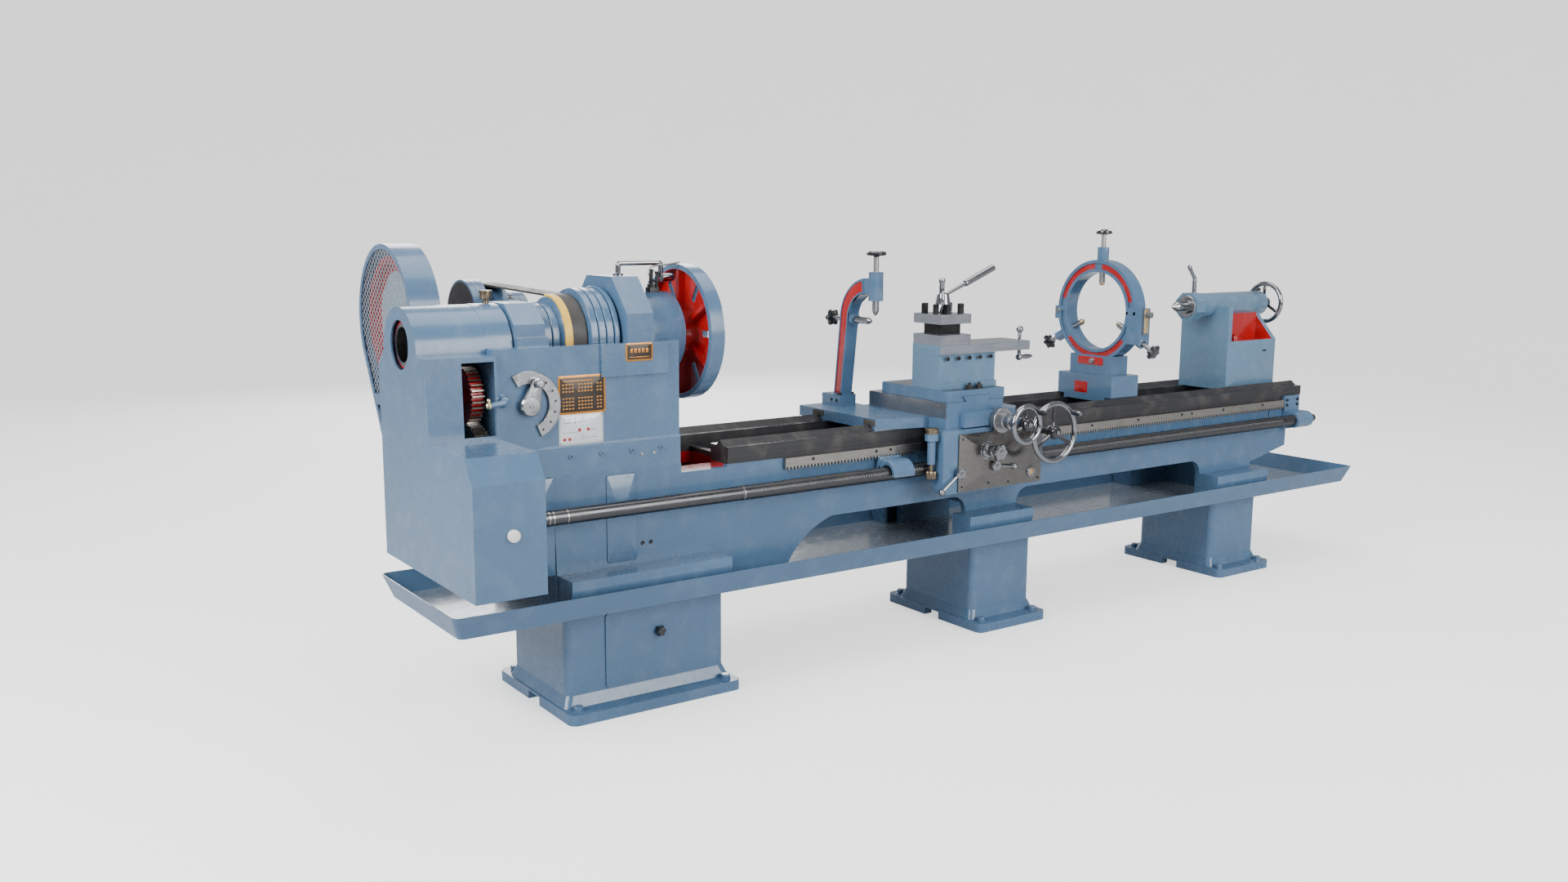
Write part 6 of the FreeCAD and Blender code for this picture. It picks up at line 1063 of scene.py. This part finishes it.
class LATHE_OT_levers(LatheOperator):
    """Cast the gearbox quadrant with its lever and the reverse lever"""
    bl_idname = "lathe.levers"
    bl_label = "Headstock levers"

    def build(self):
        x, _, z = centre = (-1867, 0, 948)
        angle = np.radians(np.linspace(-30, 158, 60))
        sector = swept(np.stack([np.stack([radius * np.sin(angle), radius * np.cos(angle),
                                           0 * angle + level], -1)
                                 for radius, level in ((62, 180.2), (62, 188.5), (63.5, 190),
                                                       (96.5, 190), (98, 188.5), (98, 180.2))],
                                1))
        piece("quadrant_plate", "frame", "worn_casting", at(sector, centre, FRONT))
        piece("quadrant_marks", "frame", "black_oxide",
              *[spun([(3, 0), (3.6, 0.3), (2.4, 0.5), (0, 0.5)],
                     (x + 82 * math.sin(turn), -189.8, z + 82 * math.cos(turn)), FRONT, 16)
                for turn in np.radians([40, 62, 84, 106, 128, 150])])
        half = np.pi * np.linspace(0, 1, 30)
        loop = np.vstack([
            np.column_stack([29 * np.cos(np.pi + half), 29 * np.sin(np.pi + half)]),
            np.column_stack([15 * np.cos(half), 68 + 15 * np.sin(half)])])
        lean = math.radians(19)
        piece("quadrant_arm", "quadrant_lever", "worn_casting",
              at(slab(loop, 190.4, 204, 3.0), centre, FRONT, -19),
              spun([(0, 180.2), (30, 180.2), (30, 200), (26, 206), (0, 208)], centre, FRONT, 48),
              spun([(0, 200), (9, 203), (8, 212), (12, 214), (12.5, 222), (9, 225), (0, 226)],
                   (x + 68 * math.sin(lean), 0, z + 68 * math.cos(lean)), FRONT),
              at(cap_screw(6, 4), (x, -207, z), FRONT), stands_for="quadrant_lever")
        path = curved([(-1945, -184, 967), (-1945, -214, 967), (-1956, -219, 966),
                       (-1985, -219, 962), (-2004, -216, 960)])
        piece("reverse_arm", "tumbler_lever", "blue_enamel",
              spun([(0, 180.2), (20, 180.2), (20, 186), (14, 192), (12, 206), (0, 208)],
                   (-1945, 0, 967), FRONT),
              tube(path, np.linspace(9.5, 7.5, len(path))), stands_for="tumbler_lever")
        piece("reverse_knob", "tumbler_lever", "plated_brass", ball(11, (-1999, -216, 960.5)),
              spun([(0, 0), (5, 0), (6, 10), (4, 14), (0, 14)], (-1999, -216, 966), TOP, 20))


class LATHE_OT_plates(LatheOperator):
    """Rivet the bare name plate, the table plate and the chart plate to the headstock"""
    bl_idname = "lathe.plates"
    bl_label = "Plates"

    def build(self):
        table, chart, name = (-1697, WALL, 968.5), (-1701.5, WALL, 867.5), (-1512, -189, 1083)

        def lay(surface, place, right=0.0, up=0.0):
            return at(surface, (place[0] + right, place[1], place[2] + up), FRONT)

        piece("table_plate", "frame", "amber_plate", lay(plate(76, 56.5, 5, 0, 1.2, 0.5), table))
        piece("table_plate_field", "frame", "dark_print",
              lay(plate(70, 50, 3, 1.2, 1.5, 0.1), table))
        piece("table_plate_cells", "frame", "amber_plate",
              *[lay(plate(3.1, 1.9, 0.4, 1.5, 1.8, 0.1), table, 10 * column - 60, 40 - 10 * row)
                for row in range(9) for column in range(13)
                if row not in (0, 4) and column not in (4, 10)],
              lay(plate(48, 1.6, 0.5, 1.5, 1.8, 0.1), table, -12, 40),
              lay(frame_strip(72, 52.5, 3, 1.6, 1.2, 1.9), table))
        piece("chart_plate", "frame", "pale_plate", lay(plate(71, 44.5, 3, 0, 1.0, 0.4), chart))
        piece("chart_lines", "frame", "dark_print",
              lay(frame_strip(68.5, 42, 2, 0.8, 1.0, 1.25), chart),
              *[lay(plate(wide, tall, 0.3, 1.0, 1.25, 0.05), chart, right, up)
                for right, up, wide, tall in (
                    (-38, 20, 22, 0.5), (-38, 28, 0.5, 8), (-20, 26, 0.5, 10), (6, 22, 16, 0.5),
                    (6, 30, 0.5, 7), (-30, -8, 30, 0.5), (36, 26, 8, 0.5), (40, -4, 14, 0.5),
                    (28, -26, 24, 0.5), (4, -24, 0.5, 8))])
        piece("chart_dots", "frame", "red_enamel",
              *[lay(turned([(0, 1.0), (5, 1.0), (5, 1.3), (0, 1.4)], 24), chart, right, up)
                for right, up in ((-6, -2), (22, -2), (-54, -28), (-38, -28))])
        piece("name_plate", "frame", "amber_plate", lay(plate(46, 27, 4, 0, 1.2, 0.5), name),
              lay(frame_strip(42, 23, 3, 1.4, 1.2, 1.8), name),
              lay(plate(34, 1.2, 0.6, 1.2, 1.7, 0.1), name, 0, -15))
        piece("name_plate_field", "frame", "dark_print",
              lay(plate(40.5, 21.5, 2, 1.2, 1.45, 0.1), name))
        piece("name_plate_marks", "frame", "amber_plate",
              *[lay(plate(4.4, 6.5, 2, 1.4, 1.75, 0.1), name, right, 4)
                for right in (-26, -13, 0, 13, 26)])
        piece("plate_rivets", "frame", "chrome_plate",
              *[lay(dome(2.2, 1.5), (x, y - 1.2, z), right, up)
                for (x, y, z), half_x, half_z in ((table, 72, 52), (chart, 66, 40), (name, 42, 23))
                for right in (-half_x, half_x) for up in (-half_z, half_z)])


class LATHE_OT_fasteners(LatheOperator):
    """Add the bolts, screws, oil cups and cover plates"""
    bl_idname = "lathe.fasteners"
    bl_label = "Fasteners and covers"

    def build(self):
        piece("oil_cup", "frame", "tarnished_brass",
              spun([(0, 0), (9, 0), (9, 10), (16, 12), (17, 14), (17, 30), (19, 31), (19, 36),
                    (17, 38), (0, 38)], (-1909, 0, 1227.5), TOP, 40))
        piece("cap_nipples", "frame", "chrome_plate",
              spun([(0, 0), (7, 0), (7, 5), (3.5, 7), (3.5, 13), (0, 14)], (-1832, 0, 1238.5),
                   TOP, 24))
        block = [at(plate(17, 15, 2, 0, 16, 1.5), (-1363, -8, 1246)),
                 at(plate(12, 13, 2, 16, 26, 1.5), (-1363, -8, 1246))]
        for x, y, tall in ((-1373, -22, 54), (-1355, -22, 48), (-1365, -2, 40)):
            block += [spun([(0, 0), (5, 0), (5, tall), (0, tall)], (x, y, 1262), TOP, 16),
                      at(hex_head(15, 8, False), (x, y, 1250 + tall * 0.55)),
                      at(hex_head(13, 7, False), (x, y, 1256 + tall))]
        piece("drum_clamp", "frame", "black_oxide", *block)
        rod = curved([(-1370, 0, 1296), (-1368, 0, 1318), (-1352, 0, 1328), (-1320, -12, 1330),
                      (-1276, -28, 1338)])
        piece("drum_clamp_rod", "frame", "bright_steel", tube(rod, 3.4))
        flats = sizes().bolt_flats * 1000
        piece("casting_bolts", "frame", "lumpy_blue_enamel",
              *[at(hex_head(flats + 4, 12), (x, y, 417))
                for x in (-1746, -1289, -206, 16, 1162, 1406) for y in (-252, 252)],
              *[at(cap_screw(7, 6), (x, -186, 790), FRONT) for x in (-1740, -1640, -1540, -1440)])
        piece("flange_screws", "frame", "bright_steel",
              *[at(cap_screw(5.5, 2.6), (x, -186, 776), FRONT) for x in (-1505, -1462)])
        piece("bed_end_panel", "frame", "blue_enamel",
              at(plate(83.5, 144, 2, 0, 3, 1), (-1882, -189, 590), FRONT))
        cover = (-1578.5, BED, 589.5)
        piece("bed_cover", "frame", "blue_enamel",
              at(plate(50.5, 132.5, 8, 0, 2.6, 1.2), cover, FRONT))
        # The black strip is the cover's seam; the two black discs are painted shade standing in
        # for holes in the bed's front.
        piece("seams_and_painted_hole_shade", "frame", "black_oxide",
              at(frame_strip(51.6, 133.6, 9, 1.0, 0.0, 0.5), cover, FRONT),
              *[spun([(0, 0.3), (5.5, 0.3), (6.5, 0.8), (7, 0)], (x, BED, 503), FRONT, 24)
                for x in (-1508, -1480)])
        piece("foot_bolts", "frame", "lumpy_blue_enamel",
              *[at(hex_head(26, 15), (x, y, 33))
                for x in (-1750, -1235, -130, 130, 1234, 1494) for y in (-226, 226)])
        piece("bracket_screws", "frame", "black_oxide",
              *[at(cap_screw(6, 5), (x, -203, z), FRONT) for x in (1669, 1741)
                for z in (712, 690)])
        piece("screw_hood", "carriage", "blue_enamel",
              arc(((30, -604), (34, -606), (44, -606), (47, -602), (47, -520), (44, -516),
                   (34, -516), (30, -518)), 188, -8, 40, SCREW),
              at(plate(45, 22, 6, 0, 20, 2), (-561, -192, 660), FRONT))


class LATHE_OT_apron_face(LatheOperator):
    """Lay the steel plate on the apron with its sight glass, screws and thread dial"""
    bl_idname = "lathe.apron_face"
    bl_label = "Apron face"

    def build(self):
        piece("apron_plate", "carriage", "apron_steel",
              at(plate(198, 100, 3, 0, 5.5, 0.8), (-158, -325, 652), FRONT))
        piece("apron_screws", "carriage", "black_oxide",
              *[at(cap_screw(4.4, 1.2), (x, APRON + 0.2, z), FRONT) for x, z in (
                  (-340, 735), (-340, 570), (-100, 735), (24, 735), (-120, 566), (26, 566),
                  (-270, 742), (-215, 572))])
        piece("sight_glass", "carriage", "chrome_plate",
              banded([(12, 0), (19, 0), (20, 1.5), (19, 4), (13.5, 5), (12, 3)],
                     (-10, APRON, 591), FRONT, 48))
        lens = bpy.data.materials.new("lens_glass")
        lens.use_nodes = True
        tree = lens.node_tree
        shader = tree.nodes["Principled BSDF"]
        shader.inputs["Roughness"].default_value = 0.05
        shader.inputs["Coat Weight"].default_value = 1.0
        tree.links.new(blend(tree, noise(tree, place_of(tree), 60.0), (0.35, 0.16, 0.05, 1),
                             (0.5, 0.35, 0.16, 1)), shader.inputs["Base Color"])
        piece("sight_lens", "carriage", lens, at(dome(12.5, 3), (-10, APRON - 1, 591), FRONT),
              slot="bright_steel")
        dial = (-446, -290, 0)
        piece("dial_rod", "thread_dial", "blue_enamel",
              spun([(0, 654), (13, 654), (14, 660), (14, 736), (20, 742), (20, 757), (0, 757)],
                   dial, TOP, 40), stands_for="thread_dial")
        piece("dial_cap", "thread_dial", "tarnished_brass",
              spun([(0, 758), (23, 758), (24, 761), (24, 775), (21, 779), (0, 780)], dial, TOP,
                   48),
              at(waved([(0, 604), (16, 604), (17.5, 607), (17.5, 627), (16, 630), (0, 630)], 18,
                       0.05, 144), dial),
              spun([(0, 629), (7, 629), (7, 655), (0, 655)], dial, TOP, 24))
        piece("slide_bolts", "cross_slide", "black_oxide",
              *[at(cap_screw(7.5, 5), (x, -255, 1004), FRONT) for x in range(-352, -151, 50)],
              *[part for x in (-262, -218) for part in (
                  at(hex_head(21, 12), (x, -272, 899)),
                  spun([(0, 0), (6, 0), (6, 20), (0, 20)], (x, -272, 899), TOP, 20))])
        piece("apron_washers", "carriage", "chrome_plate",
              banded([(14, 0), (33, 0), (33, 2.5), (31, 4), (14, 4)], (-225, APRON + 0.1, 688),
                     FRONT, 56),
              banded([(14, 0), (27, 0), (27, 2), (25, 3.2), (14, 3.2)], (16, -325, 740), FRONT,
                     56))
        piece("way_wipers", "carriage", "felt_and_brass",
              *[at(plate(30, 9, 2, 0, 4, 0.8), (x, y, 792), way)
                for x, way in ((-600, LEFT), (60, RIGHT)) for y in (-146, 146)])


def follow_arm(inset):
    """Outline of the follow rest's arm, in Y and Z, drawn in from its edges."""
    turn = np.radians(np.linspace(0, 80, 16))
    outer = np.stack([26 + (149 - inset) * np.cos(turn), AXIS + (150 - inset) * np.sin(turn)], -1)
    inner = np.stack([26 + (98 + inset) * np.cos(turn), AXIS + (96 + inset) * np.sin(turn)], -1)
    return np.vstack([[(205 - inset, 850), (175 - inset, AXIS)], outer, inner[::-1],
                      [(157 + inset, 850)]])


class LATHE_OT_rests(LatheOperator):
    """Line the rests with red recesses between blue borders"""
    bl_idname = "lathe.rests"
    bl_label = "Steady and follow rests"

    def build(self):
        casing = ((153.2, 660), (153.2, 659.6), (164, 659.6), (164, 666.4), (190, 666.4),
                  (190, 659.6), (200.3, 659.6), (200.3, 720.4), (190, 720.4), (190, 713.6),
                  (164, 713.6), (164, 720.4), (153.2, 720.4))
        for name, low, high, recesses in (("cap", -2, 182, ((14, 84), (96, 166))),
                                          ("base", 178.5, 357.5, ((219, 321),))):
            body = "steady_" + name
            piece(body + "_casing", body, "lumpy_blue_enamel", arc(casing, low, high, 80))
            for side, x, out in (("left", 666.8, -1), ("right", 713.2, 1)):
                strip = [(radius, x + out * rise) for radius, rise in (
                    (164.4, 0), (164.4, 1.2), (166, 1.6), (188, 1.6), (189.6, 1.2), (189.6, 0))]
                piece(body + "_red_" + side, body, "red_enamel",
                      *[arc(strip, start, end, 40) for start, end in recesses])
        piece("steady_windows", "steady_base", "red_enamel",
              at(plate(66, 16, 8, 0, 1.2, 0.5), (642, 0, 922), LEFT),
              at(plate(34, 22, 3, 0, 1.2, 0.5), (612.5, 18, 818), LEFT))
        piece("steady_pins", "steady_base", "bright_steel",
              spun([(0, -2), (9, -2), (10, 0), (10, 62), (9, 64), (0, 64)], (659, 200, 1112),
                   RIGHT),
              at(hex_head(sizes().bolt_flats * 1000, 10), (641, -10, 922), LEFT))
        piece("steady_strip_face", "steady_clamp", "jaw_bronze",
              at(plate(12, 46, 2, 0, 1.4, 0.5), (690, -232, 1092), FRONT))
        arm = follow_arm(9)

        def loops(x, rows):
            return [np.insert(inset_loop(arm, inset), 0, x + rise, axis=1) for inset, rise in rows]

        for side, x, out in (("left", -487, -1), ("right", -443, 1)):
            piece("follow_red_" + side, "carriage", "red_enamel",
                  capped(loops(x, ((0, 0), (0, out * 0.9), (0.7, out * 1.3)))))
            piece("follow_border_" + side, "carriage", "lumpy_blue_enamel",
                  grid(loops(x, ((-6.5, 0), (-6.5, out * 2.6), (-5.5, out * 3.2),
                                 (-1.2, out * 3.2), (-0.2, out * 2.6), (-0.2, 0))), True))
        piece("follow_foot_screws", "carriage", "black_oxide",
              *[at(hex_head(14, 8), (x, 164, 845)) for x in (-493, -437)],
              *[at(cap_screw(5, 3), (-501, y, 825), LEFT) for y in (170, 200)])


class LATHE_OT_tail(LatheOperator):
    """Add the tailstock's red clamp bolt, a black plate painted as the shade of a slot, the dial
    and base strip
    """
    bl_idname = "lathe.tail"
    bl_label = "Tailstock details"

    def build(self):
        piece("tail_clamp_bolt", "tailstock", "red_enamel", at(hex_head(26, 16), (1440, -84, 973)),
              spun([(0, 0), (9, 0), (9, 26), (0, 28)], (1440, -84, 973), TOP, 24))
        # Painted shade: a thin black plate stands in for the shade inside a slot in the
        # tailstock's front.
        piece("tail_slot_painted_shade", "tailstock", "black_oxide",
              at(plate(13, 4, 3.5, 0, 0.6, 0.2), (1600, -122.3, 925), FRONT))
        piece("tail_dial", "tail_wheel", "bright_steel",
              banded([(14, 1705), (33, 1705.4), (34, 1708), (34, 1722), (32, 1726), (14, 1728)],
                     (0, 0, AXIS), RIGHT, 64))
        piece("tail_front", "tailstock", "pale_blue_enamel",
              at(plate(164.5, 102, 2, 0, 1.2, 0.8), (1510, -121, 870.5), FRONT))
        piece("tail_nose_ring", "tailstock", "bright_steel",
              banded([(33, 1214.5), (44, 1214.5), (46, 1217), (33, 1217)], (0, 0, AXIS), RIGHT,
                     48))


def stand(name, data, right, back, place):
    """Put a lamp or a camera at a place in metres, by its X axis and its Z axis."""
    item = bpy.data.objects.new(name, data)
    bpy.context.scene.collection.objects.link(item)
    turn = np.eye(4)
    turn[:3] = np.stack([right, np.cross(back, right), back, place], 1)
    item.matrix_world = Matrix(turn.tolist())
    return item


class LATHE_OT_studio(LatheOperator):
    """Lay the pale floor, hang soft lights and place the camera"""
    bl_idname = "lathe.studio"
    bl_label = "Studio"

    def build(self):
        self.lay_floor()
        self.fill_air()
        for name, place, target, wide, power in (
                ("left_window", (-6.5, -1.2, 4.0), (-1.0, 0, 0.8), 4.0, 620),
                ("front_window", (1.0, -7.0, 3.4), (0.2, 0, 0.8), 4.5, 540),
                ("top_window", (0.0, 0.5, 6.0), (0, 0, 0.8), 4.0, 150),
                ("back_window", (1.5, 6.5, 3.6), (0, 0, 0.8), 4.0, 260)):
            lamp = bpy.data.lights.new(name, "AREA")
            lamp.size, lamp.energy = wide, power
            back = np.subtract(place, target)
            back /= np.linalg.norm(back)
            right = np.cross((0, 0, 1), back)
            stand(name, lamp, right / np.linalg.norm(right), back, place)
        yaw, pitch, roll = math.radians(35.19), math.radians(-9.36), math.radians(0.35)
        ahead = np.array([math.sin(yaw) * math.cos(pitch), math.cos(yaw) * math.cos(pitch),
                          math.sin(pitch)])
        level = np.array([math.cos(yaw), -math.sin(yaw), 0])
        right = level * math.cos(roll) + np.cross(level, ahead) * math.sin(roll)
        camera = bpy.data.cameras.new("photo_camera")
        camera.sensor_width = 36.0
        camera.lens = 1651.4 * 36.0 / 1920.0
        bpy.context.scene.camera = stand("photo_camera", camera, right, -ahead,
                                         (-3.4516, -3.6846, 1.4737))

    def lay_floor(self):
        """A flat floor that rises far away; only the camera sees it as bright as it is."""
        share = np.linspace(-1, 1, 121) * 30000
        x, y = np.meshgrid(share, share)
        rise = np.maximum(np.hypot(x, y) - 9000, 0)
        points, faces = grid(np.stack([x, y, rise * rise / 16000 - 0.5], -1), False, False)
        mesh = bpy.data.meshes.new("studio_floor")
        mesh.from_pydata((points * MM).tolist(), [], faces.tolist())
        mesh.shade_smooth()
        floor = bpy.data.objects.new("studio_floor", mesh)
        bpy.context.scene.collection.objects.link(floor)
        paint = bpy.data.materials.new("pale_floor")
        paint.use_nodes = True
        tree = paint.node_tree
        shader = tree.nodes["Principled BSDF"]
        seen = add(tree, "LightPath", out="Is Camera Ray")
        near = blend(tree, noise(tree, place_of(tree), 1.2), (0.90, 0.90, 0.90, 1),
                     (0.86, 0.86, 0.86, 1))
        tree.links.new(blend(tree, seen, (0.42, 0.43, 0.45, 1), near),
                       shader.inputs["Base Color"])
        tree.links.new(between(tree, seen, 0.16, 0.85), shader.inputs["Emission Strength"])
        shader.inputs["Roughness"].default_value = 0.9
        shader.inputs["Emission Color"].default_value = (1, 1, 1, 1)
        mesh.materials.append(paint)

    def fill_air(self):
        """White air for the camera, a soft gradient from the upper left for the rest."""
        world = bpy.context.scene.world = bpy.data.worlds.new("studio_air")
        world.use_nodes = True
        tree = world.node_tree
        lean = vector(tree, "DOT_PRODUCT", add(tree, "TexCoord", out="Generated"),
                      (-0.62, -0.12, 0.78), "Value")
        soft = blend(tree, span(tree, lean, -0.5, 0.9), (0.16, 0.18, 0.21, 1), (1, 1, 1, 1))
        seen = add(tree, "LightPath", out="Is Camera Ray")
        air = tree.nodes["Background"].inputs
        tree.links.new(blend(tree, seen, soft, (1, 1, 1, 1)), air["Color"])
        tree.links.new(between(tree, seen, 0.8, 1.6), air["Strength"])


class LATHE_PT_panel(bpy.types.Panel):
    """The operators, sizes and colours in the 3D view's sidebar"""
    bl_idname = "LATHE_PT_panel"
    bl_label = "Lathe"
    bl_space_type = "VIEW_3D"
    bl_region_type = "UI"
    bl_category = "Lathe"

    def draw(self, context):
        for group in (context.scene.lathe_paints, context.scene.lathe_sizes):
            for name in group.__annotations__:
                self.layout.prop(group, name)
        for item in OPERATORS:
            self.layout.operator(item.bl_idname)


OPERATORS = (LATHE_OT_castings, LATHE_OT_shafts, LATHE_OT_cone, LATHE_OT_guard_mesh,
             LATHE_OT_rack, LATHE_OT_wheels, LATHE_OT_knobs, LATHE_OT_handles, LATHE_OT_levers,
             LATHE_OT_plates, LATHE_OT_fasteners, LATHE_OT_apron_face, LATHE_OT_rests,
             LATHE_OT_tail, LATHE_OT_studio)


def register():
    for item in (LathePaints, LatheSizes, *OPERATORS, LATHE_PT_panel):
        bpy.utils.register_class(item)
    bpy.types.Scene.lathe_paints = PointerProperty(type=LathePaints)
    bpy.types.Scene.lathe_sizes = PointerProperty(type=LatheSizes)


def unregister():
    for item in (LATHE_PT_panel, *reversed(OPERATORS), LatheSizes, LathePaints):
        bpy.utils.unregister_class(item)
    del bpy.types.Scene.lathe_paints
    del bpy.types.Scene.lathe_sizes


def main():
    """Register the add-on and run its operators in order."""
    register()
    for item in OPERATORS:
        getattr(bpy.ops.lathe, item.bl_idname.split(".")[1])()


if __name__ == "__main__":
    main()
